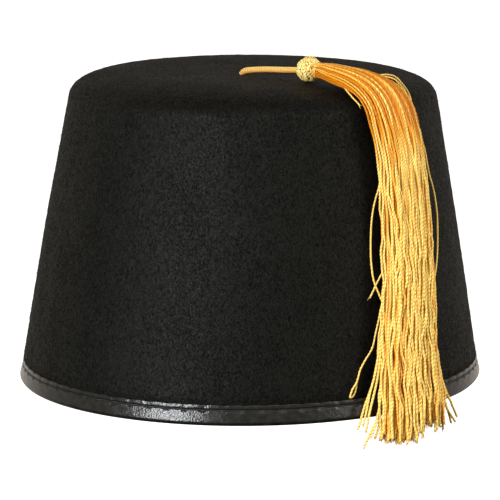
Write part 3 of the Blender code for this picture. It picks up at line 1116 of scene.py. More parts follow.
@dataclass(frozen=True)
class SkirtTones:
    """How a strand's tone goes from deep to pale, as numbers to draw from: middle and spread."""

    own: Range = (1.05, 0.32)
    # Painted shade: strands are deeper over the crown's shoulder, fading out by shoulder_end.
    shoulder: Range = (-1.35, 0.85)
    shoulder_end: float = 102.0 * MM
    shoulder_fade: float = 26.0 * MM
    slow: float = 0.15
    slow_pace: float = 2.0
    # Painted shade: a strand nearer the skirt's middle than face is made deeper, by inside.
    face: float = 0.94
    inside: float = 1.25
    lock: float = 0.22
    lock_pace: float = 2.4


@dataclass(frozen=True)
class Loosened:
    """What the loose strands over the skirt's front are drawn from; lengths are in millimetres."""

    count: int = 34
    begins: Range = (68, 165)
    lengths: Range = (35, 120)
    sides: Range = (-0.74, 0.74)
    half_width: float = 21.0
    least_left: float = 15.0
    drift: float = 2.2
    waves: float = 1.6
    widest: float = 0.43
    ramp: float = 0.2
    depth: float = 3.0
    lift: float = 0.1
    outward_waves: float = 0.5
    bend: float = 0.6
    thickness: Range = (0.9, 1.0)


@dataclass
class TasselSkirt:
    """The tassel's strands, from its head over the shoulder and past the rim."""

    form: CrownForm
    strands: int = 152
    yarn: Yarn = TWO_PLY
    tones: SkirtTones = SkirtTones()
    loose: Loosened = Loosened()
    seed: int = 12
    start: float = 50.2 * MM
    end: float = 216.0 * MM
    station_step: float = 3.0 * MM
    section_power: float = 2.4
    locks: int = 13
    bundles: int = 5
    front_heavy: float = 1.35
    hug: float = 0.6
    wall_radius: float = 88.0 * MM
    thickness: Range = (0.92, 1.06)

    # The section's half size in strands, and how uneven their places in it are.
    packed: Range = (14.6, 4.9)
    spot_noise: float = 0.02
    # The share of its box that the section fills, and of the section that the strands fill.
    fullness: float = 0.87
    packing: float = 0.80
    # How far the strands go towards their own places at each station, and how they push apart.
    follow: float = 0.45
    passes: int = 8
    spacing: float = 1.02
    shove: float = 0.35
    smoothing: tuple[int, ...] = (1, 2, 3, 2, 1)

    # The waves of the strands' drift and of their crimp: LENGTH, in millimetres, and SIZE.
    drift_waves: tuple[Range, ...] = ((110, 0.75), (55, 0.5), (28, 0.25))
    crimp_waves: tuple[Range, ...] = ((33, 0.28), (17, 0.19), (9.5, 0.09))
    paces: Range = (0.8, 1.25)
    # The share of its crimp that a strand has: DOWN, in millimetres, and SHARE.
    loosening: tuple[Range, ...] = ((58, 0.1), (120, 1.0), (160, 1.1), (200, 1.2))
    # Where the strands begin to drift, how long that takes, and how far they go, in millimetres.
    free_from: float = 66.0 * MM
    free_over: float = 110.0 * MM
    free_power: float = 0.8
    own_drift: float = 0.55
    lock_drift: float = 0.9
    outward_drift: float = 0.5

    # A strand is laid plain unless it comes this near the section's face, and to its front.
    near_face: float = 0.62
    at_face: float = 0.8
    behind: float = -1.0 * MM

    # DOWN is the distance over the crown, BEARING is in degrees, LIFT is the space under the
    # strands; lengths are in millimetres.
    #   DOWN   BEARING  WIDTH  THICKNESS  LIFT
    sections: tuple[tuple[float, ...], ...] = (
        (50.2, -19.6, 6.2, 6.0, 2.3),
        (53.9, -18.2, 7.4, 7.2, 1.8),
        (56.2, -17.2, 9.5, 8.0, 1.3),
        (60.0, -15.5, 13.5, 8.4, 0.8),
        (65.2, -13.1, 18.0, 8.6, 0.6),
        (71.3, -10.9, 22.0, 8.6, 0.6),
        (77.6, -9.0, 25.0, 8.6, 0.6),
        (83.0, -7.9, 26.3, 8.8, 0.6),
        (95.0, -6.7, 26.0, 9.0, 0.7),
        (115.0, -6.6, 27.0, 9.5, 0.7),
        (130.0, -7.1, 27.4, 9.8, 0.7),
        (143.0, -7.8, 28.2, 10.0, 0.8),
        (170.0, -9.9, 30.8, 10.0, 1.0),
        (186.0, -10.5, 33.5, 9.5, 1.8),
        (194.0, -10.6, 35.0, 9.2, 2.4),
        (201.0, -11.1, 35.0, 9.0, 3.0),
        (216.0, -11.5, 37.5, 9.0, 3.6),
    )
    # How far the strands hang below the rim, in millimetres, with a gap in them at the right.
    #   ACROSS  DROP
    hang: tuple[tuple[float, float], ...] = (
        (-24.0, 6.0),
        (-20.0, 6.5),
        (-16.8, 7.3),
        (-13.3, 9.2),
        (-10.7, 9.2),
        (-6.0, 8.6),
        (-2.5, 8.0),
        (0.6, 6.8),
        (4.5, 5.2),
        (7.5, 2.8),
        (9.0, 1.5),
        (9.6, -8.0),
        (11.6, -8.0),
        (12.2, 6.0),
        (13.2, 6.0),
        (15.3, 4.5),
        (18.0, 3.2),
        (22.0, 2.0),
    )

    # Where the strands' ends gather into tufts, in millimetres across, and by what share.
    tufts: tuple[float, ...] = (-16.8, -13.6, -10.2, -6.2, -2.6, 1.0, 5.0, 8.2, 12.9, 15.4)
    gather: float = 0.9
    tuft_length: float = 26.0 * MM
    # How uneven the ends are, in millimetres: from tuft to tuft, and the shape and scale of the
    # gamma draw by which a strand stops short. END_BEND is how far an end bends by chance.
    tuft_unevenness: float = 0.9
    tuft_rhythm: float = 5.0
    shortfall: Range = (2.0, 0.65)
    end_bend: float = 0.55
    flick_power: float = 1.5

    def sizes(self, down: np.ndarray) -> dict[str, np.ndarray]:
        """The section's sizes and its bearing at these distances."""
        fine = smooth_rows(self.sections, 400)
        bearing, width, thick, lift = (
            np.interp(down / MM, fine[:, 0], fine[:, k]) for k in (1, 2, 3, 4)
        )
        lengths = {"width": width * MM, "thick": thick * MM, "lift": lift * MM}
        return {"bearing": np.radians(bearing), **lengths}

    def homes(self, draw: Draw) -> np.ndarray:
        """Places in the section, denser in front, each from -1 to 1 across and outward."""
        (across, outward), step = self.packed, 1.0
        inside = np.ones(self.strands + 1, bool)
        while inside.sum() > self.strands:
            step *= 1.01
            rows = np.arange(-outward, outward + step, step * math.sin(TAU / 6))
            columns = np.arange(-across, across + step, step)
            spots = [(x + (k % 2) * step / 2, y) for k, y in enumerate(rows) for x in columns]
            spots = np.array(spots) / (across, outward)
            inside = (np.abs(spots) ** self.section_power).sum(axis=1) < 1
        kept = spots[inside] + draw.normal(0, self.spot_noise, (inside.sum(), 2))
        kept[:, 1] = 1 - 2 * ((1 - np.clip(kept[:, 1], -1, 1)) / 2) ** self.front_heavy
        return kept

    def wander(self, draw: Draw, count: int, down: np.ndarray) -> np.ndarray:
        """Slow sideways drift for each of count strands, about one unit large."""
        total = np.zeros((count, len(down)))
        for length, size in self.drift_waves:
            phase = draw.uniform(0, TAU, (count, 1))
            pace = draw.uniform(*self.paces, (count, 1))
            total += size * np.sin(down[None] * TAU / (length * MM) * pace + phase)
        return total

    def crimp(self, draw: Draw, down: np.ndarray) -> np.ndarray:
        """The small waves that a strand keeps from its twist, across and outward."""
        offsets = np.zeros((len(down), 2))
        for length, size in self.crimp_waves:
            phase, pace = draw.uniform(0, TAU, 2), draw.uniform(*self.paces, 2)
            offsets += size * MM * np.sin(down[:, None] * TAU / (length * MM) * pace + phase)
        places, shares = np.array(self.loosening).T
        return offsets * np.interp(down, places * MM, shares)[:, None]

    def lock_at(self, share: np.ndarray) -> np.ndarray:
        """The number of the lock at this share of the half width, from -1 to 1."""
        return np.clip(((share + 1) / 2 * self.locks).astype(int), 0, self.locks - 1)

    def settle(self, spots: np.ndarray, size: float, reach: np.ndarray) -> np.ndarray:
        """Pushes overlapping strands apart and keeps them inside the section.

        Args:
            spots: The strands' places in the section.
            size: The least distance between two strands.
            reach: The section's half width and half thickness, less a strand's radius.

        Returns:
            The new places.
        """
        for _ in range(self.passes):
            apart = spots[:, None] - spots[None]
            distance = np.linalg.norm(apart, axis=2) + 1e-9
            np.fill_diagonal(distance, 1.0)
            push = np.clip(size - distance, 0, None) / distance * self.shove
            spots = spots + (apart * push[..., None]).sum(axis=1)
            spots = spots / np.maximum(self.outness(spots, reach), 1.0)[:, None]
        return spots

    def outness(self, spots: np.ndarray, reach: np.ndarray) -> np.ndarray:
        """How far out in the section places are: 0 in its middle, 1 on its outline."""
        power = self.section_power
        return (np.abs(spots / reach) ** power).sum(axis=-1) ** (1 / power)

    def lay_out(self, draw: Draw, down: np.ndarray) -> tuple[np.ndarray, ...]:
        """Works out every strand's place at every station.

        Args:
            draw: The source of the strands' small differences.
            down: The stations' distances.

        Returns:
            Places of shape (stations, strands, 2), how far out each is, and each station's strand
            diameter.
        """
        at = self.sizes(down)
        homes = self.homes(draw)
        count = len(homes)
        lock = self.lock_at(homes[:, 0])
        free = np.clip((down - self.free_from) / self.free_over, 0, 1) ** self.free_power
        own = self.wander(draw, count, down) * self.own_drift * MM
        shared = self.wander(draw, self.locks, down)[lock] * self.lock_drift * MM
        outward = self.wander(draw, count, down) * self.outward_drift * MM
        area = self.fullness * at["width"] * at["thick"]
        snug = np.sqrt(self.packing * area / count / (math.pi / 4))
        size = np.minimum(self.yarn.diameter, snug)
        half = np.stack([at["width"], at["thick"]], axis=1) / 2
        reach = half - size[:, None] / 2
        places = np.zeros((len(down), count, 2))
        places[0] = spots = homes * reach[0]
        for j in range(1, len(down)):
            aim = homes * reach[j]
            aim[:, 0] += (own[:, j] + shared[:, j]) * free[j]
            aim[:, 1] += outward[:, j] * free[j]
            spots = spots * (reach[j] / reach[j - 1])
            spots = spots + (aim - spots) * self.follow
            places[j] = spots = self.settle(spots, size[j] * self.spacing, reach[j])
        kernel = np.array(self.smoothing) / sum(self.smoothing)
        beyond = len(kernel) // 2
        padded = np.concatenate([places[:1]] * beyond + [places] + [places[-1:]] * beyond)
        places = sum(share * padded[k : k + len(places)] for k, share in enumerate(kernel))
        return places, self.outness(places, half[:, None]), size

    def place(
        self, down: np.ndarray, across: np.ndarray, outward: np.ndarray
    ) -> tuple[np.ndarray, np.ndarray]:
        """Puts places in the section on the crown.

        Args:
            down: Each place's distance over the crown.
            across: Its distance sideways from the section's middle.
            outward: Its distance outward from there.

        Returns:
            Points and the crown's normals there.
        """
        at = self.sizes(down)
        base, normal, sideways = self.form.surface(down, at["bearing"])
        round_wall = self.hug * across**2 / (2 * self.wall_radius)
        height = at["lift"] + at["thick"] / 2 + outward - round_wall
        return base + normal * height[:, None] + sideways * across[:, None], normal

    def build(self, finish: Material) -> list[Piece]:
        """Lays all the strands, in a few bundles from left to right, and the loose ones over them.

        Args:
            finish: The strands' material.

        Returns:
            The pieces.
        """
        draw = np.random.default_rng(self.seed)
        down = np.arange(self.start, self.end, self.station_step)
        places, outness, size = self.lay_out(draw, down)
        tones = self.tones.lock * self.wander(draw, self.locks, self.tones.lock_pace * down)
        lock = self.lock_at(places[..., 0] / (self.sizes(down)["width"][:, None] / 2))
        tones = np.take_along_axis(tones.T, lock, axis=1)
        order = np.argsort(places[len(places) // 2, :, 0])
        pieces = []
        for number, members in enumerate(np.array_split(order, self.bundles)):
            yarn = YarnMesh()
            for k in members:
                self._strand(yarn, draw, down, places[:, k], outness[:, k] + tones[:, k], size)
            pieces.append(yarn.build(f"skirt_strands_{number + 1}"))
        yarn = YarnMesh()
        for _ in range(self.loose.count):
            self._loose_strand(yarn, draw)
        pieces.append(yarn.build("skirt_loose_strands"))
        for piece in pieces:
            finish_piece(piece, finish)
            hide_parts("tassel_skirt")
        return pieces

    def _strand(
        self,
        yarn: YarnMesh,
        draw: Draw,
        stations: np.ndarray,
        places: np.ndarray,
        outness: np.ndarray,
        size: np.ndarray,
    ) -> None:
        """Lays one strand down to its own end, with the filaments that spread from it."""
        finish = self._end(draw, places[-4, 0])
        in_front = places[:, 1].max() > self.behind or outness.max() > self.at_face
        made = self.yarn if (outness > self.near_face).any() and in_front else SOFT_PLY
        begin = draw.uniform(0, TWIST_REPEAT)
        rings = int((finish - self.start) / made.ring_spacing)
        down = np.linspace(self.start, finish, rings)
        row = (down - self.start) / self.station_step
        spots = read_smoothly(places, row) + self.crimp(draw, down)
        bend = draw.normal(0, self.end_bend, 2) * MM + (self._pull(places[-4, 0]), 0)
        spots += bend * self._flick(down, finish)[:, None]
        path, up = self.place(down, spots[:, 0], spots[:, 1])
        swell = np.interp(down, stations, size) / self.yarn.diameter
        radii = made.radii(rings, begin) * swell[:, None] * draw.uniform(*self.thickness)
        glow = np.interp(down, stations, outness)
        shade = self._shade(draw, down, glow)
        yarn.add(path, radii, up, shade, begin)
        CUT_END.add(yarn, draw, path, float(shade[-1]))

    def _loose_strand(self, yarn: YarnMesh, draw: Draw) -> None:
        """Lays a strand that has worked its way out and crosses over the skirt's front."""
        loose = self.loose
        begin = draw.uniform(*loose.begins) * MM
        length = draw.uniform(*loose.lengths) * MM
        side = draw.uniform(*loose.sides)
        finish = self._end(draw, side * loose.half_width * MM)
        runs_out = begin + length > finish - loose.least_left * MM
        finish = finish if runs_out else begin + length
        down = np.linspace(begin, finish, int((finish - begin) / self.yarn.ring_spacing))
        share = (down - begin) / (finish - begin)
        at = self.sizes(down)
        drift = draw.normal(0, loose.drift) * MM * (share - 0.5) * 2
        waves = self.crimp(draw, down) * loose.waves
        most = loose.widest * at["width"]
        across = np.clip(side * at["width"] / 2 + drift, -most, most)
        edge = np.abs(2 * across / at["width"]) ** self.section_power
        front = at["thick"] / 2 * np.clip(1 - edge, 0, 1) ** (1 / self.section_power)
        rise = np.clip((share if runs_out else np.minimum(share, 1 - share)) / loose.ramp, 0, 1)
        sunk = (1 - ease(rise)) * loose.depth * MM
        outward = front + loose.lift * MM - sunk + loose.outward_waves * np.abs(waves[:, 1])
        bend = draw.normal(0, loose.bend) * MM + self._pull(across[-1])
        across = across + waves[:, 0] + bend * self._flick(down, finish)
        path, up = self.place(down, across, outward)
        shade = self._shade(draw, down, np.ones(len(down)))
        begin = draw.uniform(0, TWIST_REPEAT)
        radii = self.yarn.radii(len(down), begin) * draw.uniform(*loose.thickness)
        yarn.add(path, radii, up, shade, begin)
        if runs_out:
            CUT_END.add(yarn, draw, path, float(shade[-1]))

    def _pull(self, across: float) -> float:
        """How far a strand that hangs at this place across is drawn to its tuft."""
        return self.gather * (self.tufts[self._tuft(across)] * MM - across)

    def _tuft(self, across: float) -> int:
        """The number of the tuft nearest to this place across."""
        return int(np.abs(np.array(self.tufts) * MM - across).argmin())

    def _end(self, draw: Draw, across: float) -> float:
        """The distance over the crown where a strand that ends at this place across stops."""
        hang = np.array(self.hang) * MM
        rhythm = math.sin(self.tuft_rhythm * self._tuft(across))
        uneven = self.tuft_unevenness * rhythm - draw.gamma(*self.shortfall)
        drop = np.interp(across, hang[:, 0], hang[:, 1]) + uneven * MM
        return min(self._rim_distance() + drop, self.end - self.station_step)

    def _flick(self, down: np.ndarray, finish: float) -> np.ndarray:
        """The share of its full sideways bend that a strand has near its end."""
        return np.clip((down - finish) / self.tuft_length + 1, 0, 1) ** self.flick_power

    def _shade(self, draw: Draw, down: np.ndarray, outness: np.ndarray) -> np.ndarray:
        """A strand's tone: its own, with painted shade that makes it deeper inside the skirt and
        over the crown's shoulder.
        """
        tones = self.tones
        above = np.clip((tones.shoulder_end - down) / tones.shoulder_fade, 0, 1)
        own = draw.normal(*tones.own) + above * draw.normal(*tones.shoulder)
        own = own + tones.slow * self.wander(draw, 1, tones.slow_pace * down)[0]
        return own - tones.inside * np.clip(tones.face - outness, 0, 1)

    def _rim_distance(self) -> float:
        """The distance over the crown from its middle to the plane of the rim."""
        return float(distances(self.form.outline()[:-1])[-1])


@dataclass
class StrayStrands:
    """Strands that have left the skirt and lie beside it."""

    form: CrownForm
    yarn: Yarn = TWO_PLY
    thinness: float = 0.72
    fan_thinness: float = 0.95
    tones: Range = (0.9, 1.2)
    seed: int = 5
    steps: int = 90
    # The fans begin this high in the skirt, in millimetres. Their waves' SIZE is in degrees.
    fan_start: float = 7.0
    wave_size: float = 0.22
    wave_counts: Range = (1.6, 2.6)
    # DOWN is the distance over the crown, BEARING is in degrees and LIFT is the strand's height
    # over the felt; lengths are in millimetres.
    #     DOWN   BEARING  LIFT
    routes: tuple[tuple[tuple[float, float, float], ...], ...] = (
        (
            (66.4, -9.0, 5.6),
            (66.7, -2.4, 6.4),
            (65.8, 4.5, 5.0),
            (67.1, 6.2, 4.2),
            (70.6, 4.3, 4.0),
            (74.0, 2.9, 4.0),
            (76.4, 1.3, 4.8),
            (78.4, -0.4, 5.8),
            (81.0, -2.4, 6.6),
        ),
        (
            (67.8, -10.0, 5.6),
            (68.8, -5.0, 7.0),
            (69.7, -0.3, 6.2),
            (72.9, -0.4, 6.0),
            (75.3, -0.9, 6.2),
            (78.6, -3.0, 7.0),
        ),
        (
            (63.0, -18.0, 4.4),
            (67.0, -18.6, 3.2),
            (70.0, -18.5, 2.4),
            (72.8, -18.0, 1.8),
            (75.0, -17.3, 1.6),
            (76.3, -16.9, 1.6),
        ),
        (
            (103.0, -14.0, 5.6),
            (109.0, -14.7, 4.4),
            (115.5, -15.9, 3.0),
            (120.6, -16.7, 2.6),
            (126.4, -17.3, 2.4),
            (134.3, -17.8, 2.4),
            (140.3, -17.9, 2.6),
            (145.5, -17.7, 3.0),
            (152.0, -16.6, 4.0),
            (159.0, -15.5, 5.6),
        ),
        (
            (136.0, -14.2, 6.8),
            (140.0, -15.1, 6.0),
            (143.0, -15.9, 4.6),
            (145.9, -16.9, 3.6),
            (148.6, -17.8, 3.0),
            (151.8, -19.0, 2.6),
        ),
        (
            (151.0, -15.5, 6.2),
            (156.3, -17.0, 5.0),
            (161.0, -17.5, 4.0),
            (166.1, -18.4, 3.4),
            (171.8, -19.5, 3.0),
            (176.2, -21.6, 2.8),
            (179.9, -23.1, 2.6),
            (184.4, -24.2, 2.6),
            (187.2, -25.6, 3.0),
            (190.2, -26.4, 3.2),
            (189.6, -25.2, 2.4),
            (187.0, -24.4, 2.2),
            (185.4, -24.3, 2.2),
        ),
        (
            (88.0, 0.8, 7.0),
            (93.9, 2.6, 5.8),
            (97.6, 4.1, 5.0),
            (106.6, 6.4, 3.6),
            (114.6, 8.6, 3.0),
            (123.5, 9.4, 2.6),
            (131.5, 8.7, 2.4),
            (138.3, 7.6, 2.4),
            (144.0, 5.8, 2.8),
            (150.1, 2.8, 4.0),
            (157.0, -0.4, 5.6),
        ),
    )
    # Strands that fan out at the skirt's two low edges, from one place to another.
    # A strand with a high BEND turns late.
    #   FROM   BEARING  TO     BEARING  LIFT  BEND
    fans: tuple[tuple[float, ...], ...] = (
        (158.0, -17.0, 202.4, -25.3, 4.4, 1.6),
        (163.0, -17.6, 200.8, -24.0, 4.8, 1.3),
        (160.0, -17.2, 202.8, -23.4, 5.8, 1.4),
        (176.0, -18.6, 209.2, -24.0, 6.0, 2.6),
        (168.0, -18.0, 205.4, -22.2, 6.8, 2.0),
        (170.0, -17.6, 205.8, -21.2, 6.6, 1.6),
        (172.0, -17.2, 207.0, -20.2, 6.9, 1.5),
        (176.0, -2.6, 208.4, -0.9, 7.0, 2.0),
        (172.0, -2.2, 207.6, 3.9, 5.2, 1.9),
        (176.0, -1.8, 207.2, 4.8, 5.8, 2.8),
        (176.0, -1.4, 205.4, 6.0, 5.4, 1.8),
    )

    def paths(self, draw: Draw) -> list[np.ndarray]:
        """The rows of (down, bearing, lift) along each stray strand, the fans last.

        Args:
            draw: The source of the fans' small waves.

        Returns:
            One array for each strand.
        """
        share = np.linspace(0, 1, self.steps)
        rows = [smooth_rows(route, self.steps) for route in self.routes]
        for begin, start, end, stop, lift, bend in self.fans:
            down = begin + (end - begin) * share
            turns = share * draw.uniform(*self.wave_counts) + draw.uniform(0, 1)
            waves = self.wave_size * np.sin(TAU * turns) * share
            bearing = start + (stop - start) * share**bend + waves
            height = self.fan_start + (lift - self.fan_start) * np.sqrt(share)
            rows.append(np.stack([down, bearing, height], axis=1))
        return rows

    def build(self, finish: Material) -> Piece:
        """Lays the stray strands.

        Args:
            finish: The strands' material.

        Returns:
            The piece.
        """
        draw = np.random.default_rng(self.seed)
        yarn = YarnMesh()
        for number, rows in enumerate(self.paths(draw)):
            base, normal, _ = self.form.surface(rows[:, 0] * MM, np.radians(rows[:, 1]))
            line = base + normal * (rows[:, 2:] * MM)
            path = evenly(line, self.yarn.ring_spacing)
            nearest = np.linspace(0, len(normal) - 1, len(path)).astype(int)
            shade = float(draw.uniform(*self.tones))
            begin = draw.uniform(0, TWIST_REPEAT)
            thinness = self.thinness if number < len(self.routes) else self.fan_thinness
            radii = self.yarn.radii(len(path), begin) * thinness
            yarn.add(path, radii, normal[nearest], shade, begin)
            CUT_END.add(yarn, draw, path, shade)
        piece = yarn.build("stray_strands")
        finish_piece(piece, finish)
        return piece


@dataclass(frozen=True)
class Fuzz:
    """What the felt's short fibres are drawn from; lengths are in millimetres."""

    count: int = 10000
    seed: int = 31
    clear: float = 8.5
    reach: Range = (0.5, 1.6)
    rise: Range = (0.1, 0.75)
    parts: Range = (0.55, 0.45)
    tip_rise: Range = (-0.6, 0.9)
    root: float = 0.15
    thickness: Range = (0.025, 0.055)
    taper: float = 0.8
    # A fibre's seven corners are three at its root, three at its bend and its tip.
    faces: tuple[tuple[int, ...], ...] = (
        (2, 1, 0),
        (0, 1, 4, 3),
        (1, 2, 5, 4),
        (2, 0, 3, 5),
        (3, 4, 6),
        (4, 5, 6),
        (5, 3, 6),
    )


@dataclass
class FeltCrown:
    """The blocked felt shell and the fuzz that stands out of it."""

    form: CrownForm
    cord: Cord
    felt: float = 2.4 * MM
    edge_height: float = 1.1 * MM
    steps: int = 420
    hole_clearance: float = 0.25 * MM
    hole_depth: float = 3.0 * MM
    hole_rings: int = 9
    hole_sides: int = 20
    # The outline's heights down the wall, in millimetres: FROM, TO and how many.
    wall_heights: tuple[tuple[float, float, int], ...] = ((114, 10, 66), (8.5, 1.1, 6))
    shoulder_steps: int = 26
    inside_every: int = 3

    # How far the felt rises in swells and in tufts, and how many cells of noise a metre holds, for
    # the slow swells, the quicker ones and the tufts.
    uneven: float = 0.14 * MM
    tufts: float = 0.22 * MM
    swell_paces: tuple[float, float, float] = (38, 95, 330)
    second_swell: float = 0.5
    # How far the nap stands up on the top, from what height, and over what distance it begins.
    nap: float = 0.2 * MM
    nap_from: float = 100.0 * MM
    nap_over: float = 20.0 * MM
    mostly_level: tuple[float, float, float] = (1, 1, 0.25)
    fibres: Fuzz = Fuzz()

    def build(self, finish: Material) -> Piece:
        """Spins the shell, shapes it to the head, cuts the cord's hole and roughens it.

        Args:
            finish: The felt's material.

        Returns:
            The shell.
        """
        heights = np.concatenate([np.linspace(*part) for part in self.wall_heights]) * MM
        outside = self.form.meridian(heights, True, self.shoulder_steps)
        inside = inset(outside, self.felt)[:: self.inside_every]
        inside[0, 0] = 0.0
        inside[-1] = (float(self.form.wall(self.edge_height)) - self.felt, self.edge_height)
        profile = np.concatenate([outside, inside[::-1]])
        shell = spun("felt_shell", [tuple(row) for row in profile], self.steps)
        shape_to_head(shell, self.form)
        self._cut_hole(shell)
        self._unevenness(shell)
        finish_piece(shell, finish)
        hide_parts("felt_crown")
        return shell

    def _cut_hole(self, shell: Piece) -> None:
        """Cuts the way that the cord takes through the top."""
        path = evenly(self.cord.path(), 1.0 * MM)[: self.hole_rings]
        path[0, 2] -= self.hole_depth
        cutter_yarn = YarnMesh()
        shape = (len(path), self.hole_sides)
        radii = np.full(shape, self.cord.diameter / 2 + self.hole_clearance)
        cutter_yarn.add(path, radii, np.cross(UP, self.cord.heading))
        cutter = cutter_yarn.build("hole_cutter")
        make_active(shell)
        modifier = shell.modifiers.new("hole", "BOOLEAN")
        modifier.operation = "DIFFERENCE"
        modifier.solver = "EXACT"
        modifier.object = cutter
        bpy.ops.object.modifier_apply(modifier="hole")
        bpy.data.objects.remove(cutter)

    def _unevenness(self, shell: Piece) -> None:
        """Gives the blocked felt the slow swells that hand blocking leaves."""
        points = read_points(shell)
        places = [Vector(p) for p in points]
        slow, middling, quick = (
            np.array([noise.noise(p * pace) for p in places]) for pace in self.swell_paces
        )
        swell = (slow + self.second_swell * middling) * self.uneven + quick * self.tufts
        upper = np.clip((points[:, 2] - self.nap_from) / self.nap_over, 0, 1)
        points[:, 2] += self.nap * upper
        out = points * self.mostly_level
        size = np.linalg.norm(out, axis=1, keepdims=True)
        write_points(shell, points + out / np.maximum(size, self.nap_over) * swell[:, None])

    def fuzz(self, finish: Material) -> Piece:
        """Short fibres that stand out of the felt, as thin spikes.

        Args:
            finish: The felt's material.

        Returns:
            The piece.
        """
        fuzz = self.fibres
        draw = np.random.default_rng(fuzz.seed)
        rows = self.form.outline()[:-1]
        far = distances(rows)
        length, gone = np.diff(far), (far[1:] + far[:-1]) / 2
        weight = length * (rows[1:, 0] + rows[:-1, 0])
        pick = draw.choice(len(length), fuzz.count, p=weight / weight.sum())
        down = gone[pick] + draw.uniform(-0.5, 0.5, fuzz.count) * length[pick]
        down = np.minimum(down, gone[-1] - fuzz.clear * MM)
        bearing = draw.uniform(0, TAU, fuzz.count)
        base, normal, sideways = self.form.surface(down, bearing)
        slope = np.cross(normal, sideways)
        heading = draw.uniform(0, TAU, fuzz.count)
        lay = sideways * np.cos(heading)[:, None] + slope * np.sin(heading)[:, None]
        reach = draw.uniform(*fuzz.reach, (fuzz.count, 1)) * MM
        rise = draw.uniform(*fuzz.rise, (fuzz.count, 1)) * reach
        bend = base + lay * reach * fuzz.parts[0] + normal * rise
        onward = normal * rise * draw.uniform(*fuzz.tip_rise, rise.shape)
        tip = bend + lay * reach * fuzz.parts[1] + onward
        base = base - normal * fuzz.root * MM
        thick = draw.uniform(*fuzz.thickness, (fuzz.count, 1)) * MM
        across, out = np.cross(normal, lay) * thick, normal * thick
        corners = [across, out - across / 2, -out - across / 2]
        roots = [base + corner for corner in corners]
        bends = [bend + corner * fuzz.taper for corner in corners]
        points = np.stack([*roots, *bends, tip], axis=1)
        spikes = range(0, 7 * fuzz.count, 7)
        faces = [[first + k for k in face] for first in spikes for face in fuzz.faces]
        piece = new_object("felt_fuzz", points.reshape(-1, 3), [], faces)
        make_active(piece)
        bpy.ops.object.shade_smooth()
        finish_piece(piece, finish)
        return piece


class Face(Enum):
    """The binding's two faces, which the stitches join."""

    OUTSIDE = "outside"
    INSIDE = "inside"


def bell(distance: np.ndarray, width: float) -> np.ndarray:
    """1 where the distance is 0 and nearly 0 past twice the width, which is in millimetres."""
    return np.exp(-((distance / (width * MM)) ** 2))


@dataclass(frozen=True)
class Pucker:
    """How the sewn strip sinks and bulges; lengths are in millimetres.

    Widths are (along the seam, up the strip).
    """

    hole: Range = (0.9, 0.5)
    hole_depth: float = 0.55
    above: Range = (1.5, 0.9)
    above_height: float = 1.3
    above_depth: float = 0.22
    swell: float = 0.10
    swell_height: float = 1.2
    swell_width: float = 1.0
    wave: float = 0.02
    wave_width: float = 2.2
    wave_paces: Range = (9, 40)
    edge_drop: float = 0.28
    edge_width: float = 1.3
    edge_height: float = 1.2
    felt_margin: float = 0.15
    still_height: float = 0.4


@dataclass(frozen=True)
class Stitch:
    """A stitch's course and thickness, in millimetres, but outs are in the strip's thickness."""

    rings: int = 11
    sides: int = 5
    overrun: float = 0.04
    tones: Range = (0.3, 0.8)
    seed: int = 3
    arch_power: float = 0.35
    outside_out: float = 0.72
    outside_arch: float = 0.08
    outside_lift: float = 0.18
    outside_dip: float = 0.25
    dip_power: float = 5
    inside_out: float = 0.85
    inside_sink: float = 0.35
    inside_arch: float = 0.5
    inside_lift: float = -0.3
    least: float = 0.7
    bunched: float = 1.6
    bunch_power: float = 4


